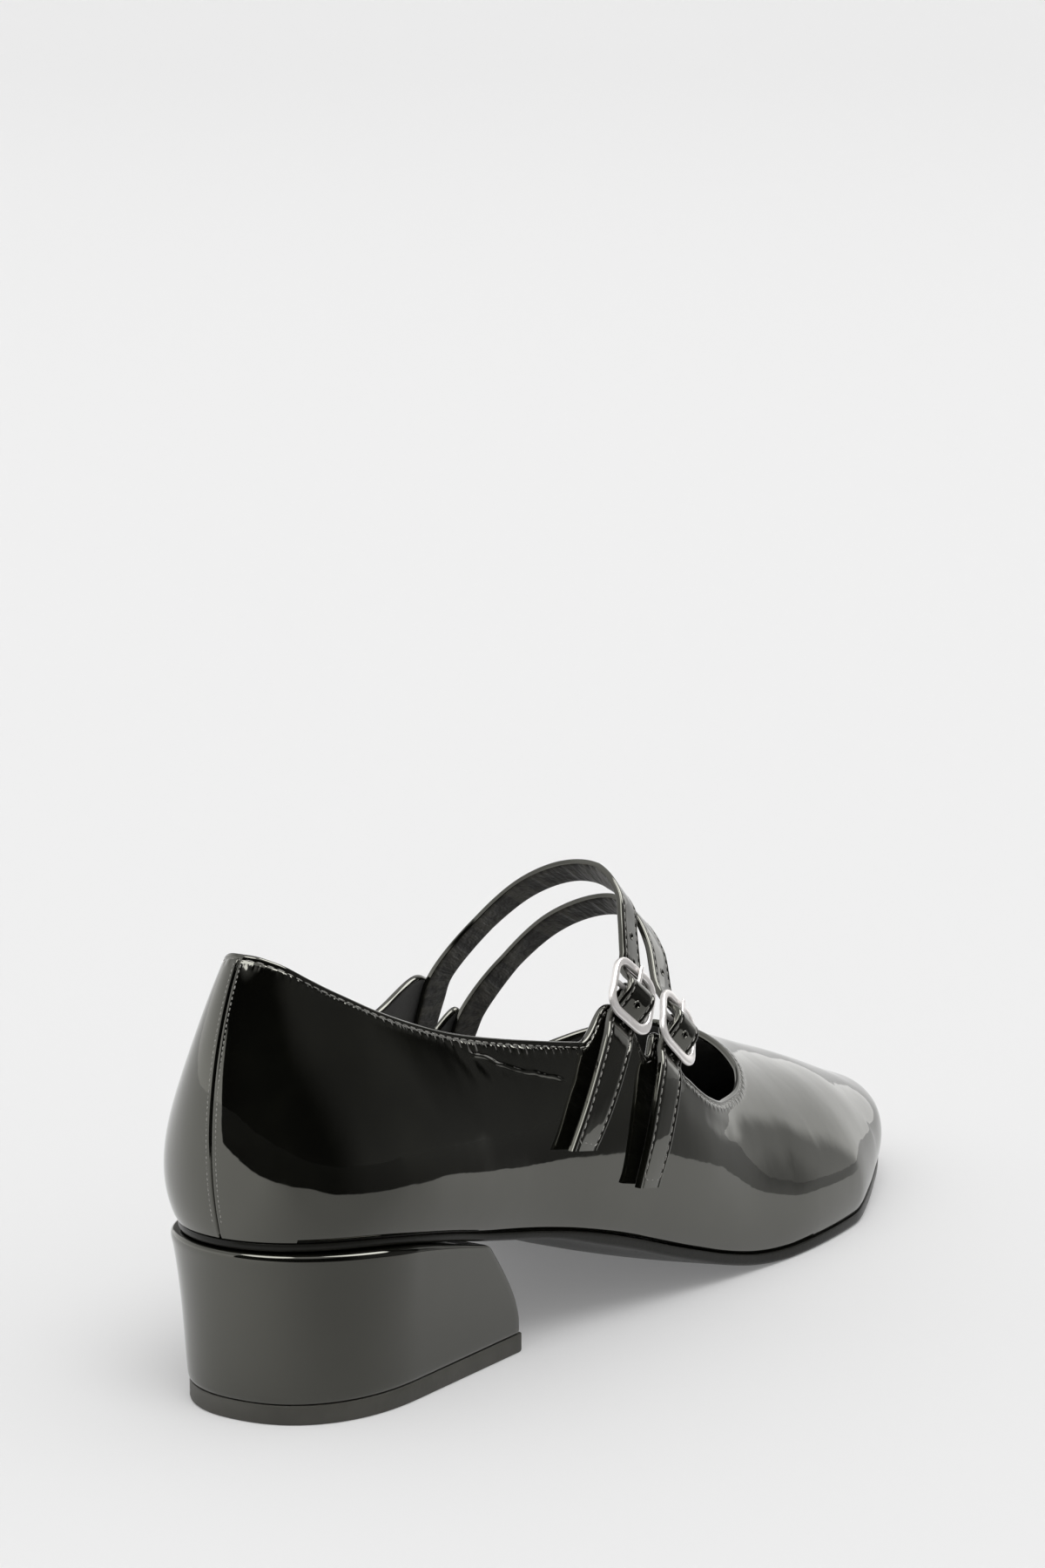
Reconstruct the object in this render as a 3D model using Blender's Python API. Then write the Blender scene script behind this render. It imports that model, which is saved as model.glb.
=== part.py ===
"""Right shoe of a double-strap mary jane in patent leather, on a low block heel.

Tables and helper functions work in millimetres, in the last's own axes:
x runs from the heel's back towards the toe, y towards the inner (medial) side
of the foot, z up from the floor.  MM turns them into metres when a mesh is
made, and the empty "shoe" carries every piece to the centre of its own box.
"""

import math
from collections import namedtuple

import bmesh
import bpy
from mathutils import Vector

MM = 0.001

# --- driving sizes -----------------------------------------------------------
SEAT_HEIGHT = 37.0      # floor to the upper's lower edge, at the back
SHOE_LENGTH = 246.0     # heel's back to the toe tip
GAP = 0.3               # between pieces that meet
WALL = 1.6              # patent leather and lining together

SOLE_THICKNESS = 2.6
SEAT_SOLE_THICKNESS = 1.8
SEAT_SOLE_INSET = 1.2   # the sole hides inside the heel seat's edge
SOLE_MARGIN = 0.3       # and shows outside the upper's edge further forward
SOLE_BELLY = 2.2        # the underside bows down this much behind the ball
INSOLE_THICKNESS = 1.6
INSOLE_INSET = WALL + 0.6

LIFT_THICKNESS = 4.0    # rubber top piece under the heel
LIFT_INSET = 0.25
LIFT_TOE = 1.5          # the top piece reaches further forward than the heel block

STRAP_WIDTH = 8.4
STRAP_THICKNESS = 1.4
STRAP_SLANT = math.radians(39.0)   # from upright, at the buckle

HEEL_AXIS_X = 28.0      # centre of the round heel
TOE_AXIS_X = 206.0      # centre of the round toe
SEAT_ROUNDNESS = 2.0    # exponent of the plan curve, 2 is an ellipse
TOE_ROUNDNESS = 2.3
END_GRIP = 4            # how late the wall takes up the handles of the two ends
TOE_SWING = 2.5         # the toe tip leans to the inner side by this much

# --- tables ------------------------------------------------------------------
# One row a section across the foot.  lateral and medial are half widths of the
# upper's lower edge.  The wall rises from there on a cubic: bulge and rise
# place its lower handle, a shoulder and the ridge its upper one.
Section = namedtuple(
    "Section", "x lateral medial bulge rise outer_shoulder inner_shoulder ridge")
SECTIONS = (
    Section(28.0, 24.9, 24.9, 13.9, 24.7, -12.0, -12.0, 108.4),
    Section(60.0, 25.8, 25.3, 13.0, 20.0, 7.0, 5.0, 93.0),
    Section(95.0, 29.4, 28.6, 12.0, 18.0, 18.0, 12.0, 99.0),
    Section(121.0, 32.0, 33.4, 10.5, 18.0, 24.5, 18.0, 80.0),
    Section(141.0, 33.8, 38.2, 9.0, 17.0, 22.0, 20.0, 62.0),
    Section(166.0, 35.6, 41.5, 7.0, 15.0, 24.0, 24.0, 46.5),
    Section(188.0, 34.2, 39.6, 6.0, 13.0, 24.0, 24.0, 38.0),
    Section(206.0, 28.3, 34.8, 5.0, 12.0, 20.0, 20.0, 32.0),
)

# The same handles where the wall runs round the back of the heel and the toe.
End = namedtuple("End", "reach bulge rise shoulder")
HEEL_END = End(HEEL_AXIS_X + 4.3, 9.8, 29.7, 24.0)
TOE_END = End(SHOE_LENGTH - TOE_AXIS_X, 3.5, 10.0, 25.0)

# Height of the upper's lower edge along the foot: heel seat, arch, flat tread
# and toe spring.
Level = namedtuple("Level", "x z")
TREAD = SOLE_THICKNESS + GAP
FEATHER = (
    Level(-5.0, SEAT_HEIGHT + 0.6), Level(12.0, SEAT_HEIGHT - 0.4),
    Level(26.0, 34.7), Level(39.0, 32.2), Level(50.0, 29.7),
    Level(59.0, 27.9), Level(70.0, 25.7), Level(80.5, 23.3), Level(91.0, 20.4),
    Level(102.6, 16.7), Level(114.0, 12.7), Level(123.0, 9.8),
    Level(130.0, 7.6), Level(137.0, 5.7), Level(144.0, 4.2), Level(151.0, 3.3),
    Level(158.0, TREAD), Level(186.0, TREAD), Level(202.0, 4.1),
    Level(218.0, 6.3), Level(232.0, 9.0), Level(247.0, 12.4),
)

# Topline seen from the side, without its ears and tabs.
THROAT_X = 168.0
TOPLINE = (
    Level(-8.0, 92.4), Level(3.0, 91.8), Level(6.5, 90.2), Level(12.5, 86.4),
    Level(20.0, 82.0), Level(27.5, 77.9), Level(38.0, 73.3), Level(49.5, 69.3),
    Level(62.0, 66.1), Level(76.0, 63.1), Level(88.0, 60.6),
    Level(98.0, 57.4), Level(106.0, 54.0), Level(113.0, 51.0),
    Level(119.0, 47.6), Level(124.0, 43.9), Level(129.0, 41.2),
    Level(136.0, 38.9), Level(146.0, 38.3), Level(157.0, 40.4), Level(THROAT_X, 46.0),
)

# Ears on the outer side carry the buckles, tabs on the inner side hold the
# straps, and the inner topline dips behind them.  back and front are where each
# one leaves the topline.
Rise = namedtuple("Rise", "back top_back top_front front height")
LATERAL_EARS = (
    Rise(83.5, 97.0, 99.5, 104.3, 9.0),
    Rise(104.3, 111.0, 113.5, 118.5, 6.4),
)
MEDIAL_TABS = (
    Rise(20.0, 40.0, 68.0, 81.0, -1.0),
    Rise(81.0, 99.5, 107.5, 111.5, 9.8),
    Rise(111.5, 118.2, 126.2, 131.5, 7.6),
)

# Plan of the heel block, from its seat down to the top piece.
HeelLevel = namedtuple("HeelLevel", "share back breast half_width roundness")
HEEL_LEVELS = (
    HeelLevel(0.00, 0.0, 67.0, 22.9, 2.3),
    HeelLevel(0.14, -0.4, 66.4, 23.2, 2.28),
    HeelLevel(0.30, -0.9, 64.9, 23.5, 2.24),
    HeelLevel(0.48, -1.6, 62.2, 23.9, 2.18),
    HeelLevel(0.68, -2.6, 58.3, 24.5, 2.1),
    HeelLevel(0.86, -3.7, 54.3, 25.2, 2.03),
    HeelLevel(1.00, -4.9, 51.0, 25.8, 1.98),
)
HEEL_BACK_DEPTH = 30.0  # length of the heel block's rounded back

# Free arch of each strap, chosen by hand from the inner side over the instep.
# lean and turn tip the strap's width forward-down and towards the inner side.
StrapPoint = namedtuple("StrapPoint", "x y z lean turn")
REAR_ARCH = (
    StrapPoint(109.4, 13.2, 77.2, 0.2, 0.0), StrapPoint(113.9, 4.8, 85.3, 0.45, 0.0),
    StrapPoint(115.7, -4.6, 89.2, 0.65, 0.0), StrapPoint(115.4, -12.6, 89.0, 0.95, 0.1),
    StrapPoint(112.3, -18.8, 85.0, 1.0, 0.25), StrapPoint(109.4, -21.0, 80.4, 0.85, 0.25),
)
FRONT_ARCH = (
    StrapPoint(126.6, 17.6, 65.2, 0.2, 0.0), StrapPoint(130.7, 9.6, 73.6, 0.45, 0.0),
    StrapPoint(132.4, 0.7, 78.0, 0.6, 0.0), StrapPoint(132.2, -6.6, 79.0, 0.8, 0.1),
    StrapPoint(129.8, -12.6, 76.8, 0.9, 0.2), StrapPoint(126.5, -17.8, 72.2, 0.85, 0.25),
)

# Where each strap starts on the inner side, is buckled on the outer side and ends.
Strap = namedtuple("Strap", "name tab_x tab_top arch buckle_x buckle_z tail_x tail_z")
STRAPS = (
    Strap("rear", 103.5, 67.0, REAR_ARCH, 100.8, 68.6, 73.4, 43.4),
    Strap("front", 121.2, 56.0, FRONT_ARCH, 115.4, 58.8, 96.6, 30.7),
)
STRAP_SEAM = 12.0       # length of strap sewn behind its tab
SEAM_CLEAR = 0.5        # the sewn end stands this much further in
TAB_LEAN = 0.1          # the strap leaves its tab leaning forward
TAIL_CLEAR = 1.5        # between a strap's free end and the wall
TAIL_ACROSS = Vector((1.0, 0.0, -0.2))

# --- buckle sizes ------------------------------------------------------------
BAR_RADIUS = 0.55
BAR_PLAY = 0.2              # between the centre bar and what wraps it
FRAME_RADIUS = 0.7
FRAME_HALF_LENGTH = 6.0     # centre bar to end bar
FRAME_HALF_WIDTH = 5.6
FRAME_CORNER = 2.2
FRAME_TILT = math.radians(11.0)
BAR_STANDOFF = 3.1          # centre bar above the ear's outer face
LOOP_THICKNESS = 0.45
LOOP_WIDTH = 6.6
LOOP_LEG = 7.2
LOOP_SLOT = 2.6
PRONG_WIDTH = 1.3
PRONG_THICKNESS = 0.76
PRONG_CLEARANCE = 0.35
HOOK_SWEEP = 230.0          # degrees that the prong wraps round its bar
HOOK_END = 82.0             # where it leaves the bar, from up towards out

FEATHER_TO_TOP_ROWS = 7
RIBBON_SIDES = 8


# --- interpolation -----------------------------------------------------------
def monotone(xs, ys, x):
    """Cubic through the points that adds no hump between them."""
    if x <= xs[0]:
        return ys[0]
    if x >= xs[-1]:
        return ys[-1]
    steps = [b - a for a, b in zip(xs, xs[1:])]
    slopes = [(b - a) / h for a, b, h in zip(ys, ys[1:], steps)]
    tangents = [slopes[0]]
    for i in range(1, len(xs) - 1):
        left, right = slopes[i - 1], slopes[i]
        if left * right <= 0.0:
            tangents.append(0.0)
        else:
            near = 2.0 * steps[i] + steps[i - 1]
            far = steps[i] + 2.0 * steps[i - 1]
            tangents.append((near + far) / (near / left + far / right))
    tangents.append(slopes[-1])
    i = max(k for k in range(len(steps)) if xs[k] <= x)
    h = steps[i]
    s = (x - xs[i]) / h
    return (
        (1.0 + 2.0 * s) * (1.0 - s) ** 2 * ys[i]
        + s * (1.0 - s) ** 2 * h * tangents[i]
        + s * s * (3.0 - 2.0 * s) * ys[i + 1]
        + s * s * (s - 1.0) * h * tangents[i + 1]
    )


def column(table, key, name, x):
    """Value of a named column at x, read smoothly between the rows."""
    keys = [getattr(row, key) for row in table]
    values = [getattr(row, name) for row in table]
    return monotone(keys, values, x)


def smoothstep(low, high, x):
    s = min(max((x - low) / (high - low), 0.0), 1.0)
    return s * s * (3.0 - 2.0 * s)


def feather(x):
    return column(FEATHER, "x", "z", x)


def topline(x, side):
    """Height of the topline, ears and tabs included; side is -1 lateral, 1 medial."""
    z = column(TOPLINE, "x", "z", x)
    for rise in (LATERAL_EARS if side < 0 else MEDIAL_TABS):
        up = smoothstep(rise.back, rise.top_back, x)
        down = 1.0 - smoothstep(rise.top_front, rise.front, x)
        z += rise.height * up * down
    return z


# --- the last ----------------------------------------------------------------
Station = namedtuple("Station", "axis base radius bulge rise shoulder ridge fall")


def axis_y(x):
    """The ridge runs midway between the two sides of the lower edge."""
    lateral = column(SECTIONS, "x", "lateral", x)
    medial = column(SECTIONS, "x", "medial", x)
    return 0.5 * (medial - lateral)


def half_width(x, side):
    return column(SECTIONS, "x", "medial" if side > 0 else "lateral", x)


def straight_station(x, side):
    half = half_width(x, side)
    centre = axis_y(x)
    shoulder = "inner_shoulder" if side > 0 else "outer_shoulder"
    handles = [column(SECTIONS, "x", name, x) for name in ("bulge", "rise", shoulder, "ridge")]
    base = Vector((x, side * half, feather(x)))
    return Station(Vector((x, centre, 0.0)), base, abs(side * half - centre), *handles, 0.0)


def round_station(axis_x, end, exponent, forward, swing, turn, side, taper=0.0, fall=0.0):
    """A section turned about the axis of the round heel or toe; turn is 0 to 90 degrees.

    taper and fall are the slopes that the half width and the ridge have at the axis.
    """
    beside = straight_station(axis_x, side)
    power = 2.0 / exponent
    along = end.reach * math.sin(turn) ** power
    across = beside.radius * max(math.cos(turn), 0.0) ** power + taper * along * math.cos(turn)
    x = axis_x + forward * along
    y = beside.axis.y + side * across + swing * math.sin(turn) ** 2
    base = Vector((x, y, feather(x)))
    radius = math.hypot(x - beside.axis.x, y - beside.axis.y)
    share = math.sin(turn) ** END_GRIP
    bulge = beside.bulge + share * (end.bulge - beside.bulge)
    rise = beside.rise + share * (end.rise - beside.rise)
    shoulder = beside.shoulder + share * (end.shoulder - beside.shoulder)
    return Station(beside.axis, base, radius, bulge, rise, shoulder, beside.ridge, fall)


def toe_station(turn, side):
    """The round toe takes up the taper and the fall of the vamp behind it."""
    behind = TOE_AXIS_X - 1.0
    taper = half_width(TOE_AXIS_X, side) - half_width(behind, side)
    fall = column(SECTIONS, "x", "ridge", TOE_AXIS_X) - column(SECTIONS, "x", "ridge", behind)
    return round_station(
        TOE_AXIS_X, TOE_END, TOE_ROUNDNESS, 1.0, TOE_SWING, turn, side, taper, fall)


def wall_point(station, t):
    """Point of the last's surface: t is 0 at the lower edge and 1 on the ridge."""
    outward = Vector((station.base.x - station.axis.x, station.base.y - station.axis.y, 0.0))
    outward.normalize()
    low = station.base.z
    a = (1.0 - t) ** 3
    b = 3.0 * t * (1.0 - t) ** 2
    c = 3.0 * t * t * (1.0 - t)
    d = t ** 3
    radius = a * station.radius + b * (station.radius + station.bulge) + c * station.shoulder
    height = a * low + b * (low + station.rise) + (c + d) * station.ridge
    point = station.axis + outward * radius
    point.z = height + station.fall * (point.x - station.axis.x) * t * t
    return point


def topline_share(station, side):
    """The t at which a section reaches the topline, or 1 where the vamp closes it."""
    if station.axis.x >= THROAT_X:
        return 1.0
    low, high = 0.0, 1.0
    for _ in range(40):
        middle = 0.5 * (low + high)
        point = wall_point(station, middle)
        if point.z < topline(point.x, side):
            low = middle
        else:
            high = middle
    return low


def straight_places():
    """x of the sections between the round heel and the round toe, closer at the ears."""
    places = []
    x = HEEL_AXIS_X
    while x < 83.0:
        places.append(x)
        x += 7.0
    while x < 132.0:
        places.append(x)
        x += 1.75
    throat_steps = 9
    for i in range(throat_steps):
        places.append(THROAT_X - (THROAT_X - 134.0) * (1.0 - i / throat_steps) ** 2)
    vamp_steps = 5
    for i in range(vamp_steps + 1):
        places.append(THROAT_X + (TOE_AXIS_X - THROAT_X) * i / vamp_steps)
    return places


def side_stations(side, heel_steps=11, toe_steps=10):
    """Sections of one side from the middle of the heel's back to the toe tip."""
    stations = []
    for i in range(heel_steps):
        turn = 0.5 * math.pi * (1.0 - i / heel_steps)
        stations.append(
            round_station(HEEL_AXIS_X, HEEL_END, SEAT_ROUNDNESS, -1.0, 0.0, turn, side))
    stations += [straight_station(x, side) for x in straight_places()]
    for i in range(1, toe_steps + 1):
        stations.append(toe_station(0.5 * math.pi * i / toe_steps, side))
    return stations


def surface_frame(x, z, side):
    """Point, outward normal, upward and forward directions of the wall at x and z."""
    def at(px, pz):
        station = straight_station(px, side)
        low, high = 0.0, 1.0
        for _ in range(40):
            middle = 0.5 * (low + high)
            if wall_point(station, middle).z < pz:
                low = middle
            else:
                high = middle
        return wall_point(station, low)

    point = at(x, z)
    up = at(x, z + 0.5) - at(x, z - 0.5)
    up.normalize()
    forward = at(x + 0.5, z) - at(x - 0.5, z)
    normal = up.cross(forward) if side > 0 else forward.cross(up)
    normal.normalize()
    forward -= up * forward.dot(up)
    forward.normalize()
    if normal.y * side < 0.0:
        normal.negate()
    return point, normal, up, forward


# --- mesh helpers ------------------------------------------------------------
def make_object(name, mesh_data, material, parent):
    """Object from a bmesh in millimetres; its faces are turned to point out."""
    bmesh.ops.scale(mesh_data, vec=(MM, MM, MM), verts=mesh_data.verts)
    bmesh.ops.remove_doubles(mesh_data, verts=mesh_data.verts, dist=0.000002)
    bmesh.ops.recalc_face_normals(mesh_data, faces=mesh_data.faces)
    if mesh_data.calc_volume(signed=True) < 0.0:
        bmesh.ops.reverse_faces(mesh_data, faces=mesh_data.faces)
    mesh = bpy.data.meshes.new(name)
    mesh_data.to_mesh(mesh)
    mesh_data.free()
    mesh.materials.append(material)
    mesh.shade_smooth()
    mesh.set_sharp_from_angle(angle=math.radians(35.0))
    piece = bpy.data.objects.new(name, mesh)
    bpy.context.scene.collection.objects.link(piece)
    piece.parent = parent
    return piece


def make_material(name, color, roughness, metallic=0.0, coat=0.0):
    material = bpy.data.materials.new(name)
    material.use_nodes = True
    shader = material.node_tree.nodes["Principled BSDF"]
    shader.inputs["Base Color"].default_value = (*color, 1.0)
    shader.inputs["Roughness"].default_value = roughness
    shader.inputs["Metallic"].default_value = metallic
    shader.inputs["Coat Weight"].default_value = coat
    return material


def add_strip(mesh_data, first, second, closed):
    """Quads between two rows of vertices of the same length."""
    count = len(first)
    for i in range(count if closed else count - 1):
        j = (i + 1) % count
        corners = []
        for vert in (first[i], first[j], second[j], second[i]):
            if vert not in corners:
                corners.append(vert)
        if len(corners) > 2:
            mesh_data.faces.new(corners)


def plate(rings):
    """Closed solid from stacked rings of paired points, back to front on both sides.

    Each ring is a list of (lateral, medial) pairs; its first and last pairs meet
    at the middle of the back and at the tip, or leave a straight edge there.
    """
    mesh_data = bmesh.new()
    rows = []
    for ring in rings:
        lateral = [mesh_data.verts.new(pair[0]) for pair in ring]
        medial = [mesh_data.verts.new(pair[1]) for pair in ring]
        rows.append((lateral, medial))
    for (lat_a, med_a), (lat_b, med_b) in zip(rows, rows[1:]):
        add_strip(mesh_data, lat_a + med_a[::-1], lat_b + med_b[::-1], True)
    for lateral, medial in (rows[0], rows[-1]):
        add_strip(mesh_data, lateral, medial, False)
    return mesh_data


def sweep(points, sections, closed):
    """Solid along a path: sections gives the ring of offsets at each point."""
    mesh_data = bmesh.new()
    rings = []
    for point, offsets in zip(points, sections):
        rings.append([mesh_data.verts.new(point + offset) for offset in offsets])
    for a, b in zip(rings, rings[1:]):
        add_strip(mesh_data, a, b, True)
    if closed:
        add_strip(mesh_data, rings[-1], rings[0], True)
    else:
        mesh_data.faces.new(rings[0])
        mesh_data.faces.new(rings[-1])
    return mesh_data


def smooth_path(points, steps):
    """Centripetal curve through the points, with steps pieces in each span."""
    padded = [2.0 * points[0] - points[1], *points, 2.0 * points[-1] - points[-2]]
    path = []
    for p0, p1, p2, p3 in zip(padded, padded[1:], padded[2:], padded[3:]):
        knots = [0.0]
        for a, b in ((p0, p1), (p1, p2), (p2, p3)):
            knots.append(knots[-1] + math.sqrt((b - a).length))
        for i in range(steps):
            t = knots[1] + (knots[2] - knots[1]) * i / steps
            a1 = p0.lerp(p1, (t - knots[0]) / (knots[1] - knots[0]))
            a2 = p1.lerp(p2, (t - knots[1]) / (knots[2] - knots[1]))
            a3 = p2.lerp(p3, (t - knots[2]) / (knots[3] - knots[2]))
            b1 = a1.lerp(a2, (t - knots[0]) / (knots[2] - knots[0]))
            b2 = a2.lerp(a3, (t - knots[1]) / (knots[3] - knots[1]))
            path.append(b1.lerp(b2, (t - knots[1]) / (knots[2] - knots[1])))
    path.append(points[-1].copy())
    return path


def tangents(path, closed=False):
    count = len(path)
    result = []
    for i in range(count):
        before = path[i - 1] if i or closed else path[i]
        after = path[(i + 1) % count] if i < count - 1 or closed else path[i]
        result.append((after - before).normalized())
    return result


def round_section(direction, flat, radius, sides, squash=1.0):
    """Ring of offsets round a wire; flat is its second axis, squash its thickness."""
    across = (flat - direction * flat.dot(direction)).normalized()
    out = direction.cross(across)
    ring = []
    for i in range(sides):
        angle = 2.0 * math.pi * (i + 0.5) / sides
        ring.append(across * radius * math.cos(angle) + out * radius * squash * math.sin(angle))
    return ring


def cut(piece, cutter):
    """Take the cutter's shape out of the piece."""
    cutter.hide_render = True
    cutter.display_type = "WIRE"
    modifier = piece.modifiers.new("cut", "BOOLEAN")
    modifier.operation = "DIFFERENCE"
    modifier.solver = "EXACT"
    modifier.object = cutter


def join(piece, other):
    """Weld another solid onto the piece."""
    other.hide_render = True
    other.display_type = "WIRE"
    modifier = piece.modifiers.new("join", "BOOLEAN")
    modifier.operation = "UNION"
    modifier.solver = "EXACT"
    modifier.object = other


# --- outlines ----------------------------------------------------------------
def feather_outline(offset):
    """Pairs of plan points of the lower edge, moved outwards by offset(x)."""
    sides = {side: [s.base for s in side_stations(side)] for side in (-1, 1)}
    ring = sides[-1] + sides[1][::-1][1:-1]
    count = len(ring)
    moved = []
    for i, point in enumerate(ring):
        along = ring[(i + 1) % count] - ring[i - 1]
        outward = Vector((-along.y, along.x, 0.0)).normalized()
        moved.append(point - outward * offset(point.x))
    length = len(sides[-1])
    lateral = moved[:length]
    medial = [moved[0]] + moved[length:][::-1] + [moved[length - 1]]
    return list(zip(lateral, medial))


def at_height(pairs, height):
    """The same plan points with z from a function of x."""
    lifted = []
    for pair in pairs:
        lifted.append(tuple(Vector((p.x, p.y, height(p.x))) for p in pair))
    return lifted


# --- pieces ------------------------------------------------------------------
def make_upper(material, parent):
    """Hollow upper: open at the topline and underneath, with ears and tabs."""
    outer = bmesh.new()
    columns = []
    for side in (-1, 1):
        grid = []
        for station in side_stations(side):
            top = topline_share(station, side)
            shares = [top * (i / FEATHER_TO_TOP_ROWS) ** 0.9 for i in range(FEATHER_TO_TOP_ROWS + 1)]
            grid.append([outer.verts.new(wall_point(station, t)) for t in shares])
        columns.append(grid)
    for grid in columns:
        for a, b in zip(grid, grid[1:]):
            add_strip(outer, a, b, False)
    bmesh.ops.remove_doubles(outer, verts=outer.verts, dist=0.002)
    bmesh.ops.recalc_face_normals(outer, faces=outer.faces)
    outer.normal_update()
    probe = max(outer.verts, key=lambda v: v.co.z if v.co.x > THROAT_X + 5.0 else -1.0)
    if probe.normal.z < 0.0:
        bmesh.ops.reverse_faces(outer, faces=outer.faces)
        outer.normal_update()
    outer.verts.ensure_lookup_table()
    outer.verts.index_update()

    feather_rim = set()
    for edge in outer.edges:
        if edge.is_boundary and all(abs(v.co.z - feather(v.co.x)) < 0.01 for v in edge.verts):
            feather_rim.update(v.index for v in edge.verts)
    faces = [[v.index for v in face.verts] for face in outer.faces]
    rims = [[v.index for v in edge.verts] for edge in outer.edges if edge.is_boundary]
    points = [v.co.copy() for v in outer.verts]
    inner_points = []
    for vert in outer.verts:
        normal = vert.normal.copy()
        if vert.index in feather_rim:
            normal.z = 0.0
            normal.normalize()
        inner_points.append(vert.co - normal * WALL)
    outer.free()

    shell = bmesh.new()
    outside = [shell.verts.new(p) for p in points]
    inside = [shell.verts.new(p) for p in inner_points]
    for face in faces:
        shell.faces.new([outside[i] for i in face])
        shell.faces.new([inside[i] for i in reversed(face)])
    for a, b in rims:
        shell.faces.new([outside[a], outside[b], inside[b], inside[a]])
    return make_object("upper", shell, material, parent)


def sole_thickness(x):
    grow = smoothstep(72.0, 92.0, x)
    return SEAT_SOLE_THICKNESS + grow * (SOLE_THICKNESS - SEAT_SOLE_THICKNESS)


def sole_offset(x):
    grow = smoothstep(46.0, 64.0, x)
    return -SEAT_SOLE_INSET + grow * (SOLE_MARGIN + SEAT_SOLE_INSET)


def sole_top(x):
    return feather(x) - GAP


def sole_bottom(x):
    return sole_top(x) - sole_thickness(x)


def sole_belly(x):
    return SOLE_BELLY * smoothstep(92.0, 113.0, x) * (1.0 - smoothstep(122.0, 156.0, x))


def make_outsole(material, parent):
    """One sheet from the heel seat to the toe, with a softened lower edge."""
    edge = 0.5
    full = feather_outline(sole_offset)
    narrow = feather_outline(lambda x: sole_offset(x) - edge)
    rings = [
        at_height(full, sole_top),
        at_height(full, lambda x: sole_bottom(x) + edge),
        at_height(narrow, sole_bottom),
    ]
    # the underside's bow, in rings that close in on its middle
    for inward in (0.12, 0.26, 0.42):
        fullness = 1.0 - (1.0 - 2.0 * inward) ** 2
        inner = [(a.lerp(b, inward), b.lerp(a, inward)) for a, b in narrow]
        rings.append(at_height(inner, lambda x, f=fullness: sole_bottom(x) - f * sole_belly(x)))
    return make_object("outsole", plate(rings), material, parent)


def make_insole(material, parent):
    """Sock inside the upper, lying on the sole."""
    outline = feather_outline(lambda x: -INSOLE_INSET)
    rings = [
        at_height(outline, lambda x: feather(x) + INSOLE_THICKNESS),
        at_height(outline, feather),
    ]
    return make_object("insole", plate(rings), material, parent)


def heel_outline(level, inset=0.0):
    """Plan of the heel at one level: a rounded back, straight sides, a flat breast."""
    half = level.half_width - inset
    back = level.back + inset
    breast = level.breast - inset
    pairs = []
    steps = 10
    for i in range(steps + 1):
        turn = 0.5 * math.pi * i / steps
        power = 2.0 / level.roundness
        x = back + HEEL_BACK_DEPTH * (1.0 - max(math.cos(turn), 0.0) ** power)
        y = half * math.sin(turn) ** power
        pairs.append((Vector((x, -y, 0.0)), Vector((x, y, 0.0))))
    start = back + HEEL_BACK_DEPTH
    for i in range(1, 5):
        x = start + (breast - start) * i / 4.0
        pairs.append((Vector((x, -half, 0.0)), Vector((x, half, 0.0))))
    return pairs


def make_heel_block(material, parent):
    """Block heel: its back leans in and its breast sweeps forward going down."""
    foot = LIFT_THICKNESS + GAP
    seat = heel_outline(HEEL_LEVELS[-1])
    rings = []
    for level in HEEL_LEVELS:
        ring = []
        for pair, top_pair in zip(heel_outline(level), seat):
            top = sole_bottom(top_pair[0].x) - GAP
            z = foot + level.share * (top - foot)
            ring.append(tuple(Vector((p.x, p.y, z)) for p in pair))
        rings.append(ring)
    return make_object("heel_block", plate(rings), material, parent)


def make_heel_lift(material, parent):
    """Rubber top piece that the heel stands on."""
    foot = HEEL_LEVELS[0]._replace(breast=HEEL_LEVELS[0].breast + LIFT_TOE)
    outline = heel_outline(foot, LIFT_INSET)
    edge = 0.5
    narrow = heel_outline(foot, LIFT_INSET + edge)
    rings = [
        at_height(outline, lambda x: LIFT_THICKNESS),
        at_height(outline, lambda x: edge),
        at_height(narrow, lambda x: 0.0),
    ]
    return make_object("heel_lift", plate(rings), material, parent)


class BuckleFrame:
    """Place of one buckle: its centre bar, and up, across and out directions."""

    def __init__(self, strap):
        point, normal, up, forward = surface_frame(strap.buckle_x, strap.buckle_z, -1)
        self.wall = point
        self.out = normal
        self.up = up * math.cos(STRAP_SLANT) + forward * math.sin(STRAP_SLANT)
        self.across = self.up.cross(self.out).normalized()
        self.bar = point + normal * BAR_STANDOFF

    def at(self, up, out, across=0.0):
        return self.bar + self.up * up + self.out * out + self.across * across

    def tilted(self, up, out, across=0.0):
        """The same inside the frame, which leans about its centre bar."""
        cosine = math.cos(FRAME_TILT)
        sine = math.sin(FRAME_TILT)
        return self.at(up * cosine + out * sine, out * cosine - up * sine, across)


def frame_end():
    """Up and out distances from the centre bar to the frame's upper bar."""
    up = FRAME_HALF_LENGTH * math.cos(FRAME_TILT)
    out = -FRAME_HALF_LENGTH * math.sin(FRAME_TILT)
    return up, out


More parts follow.
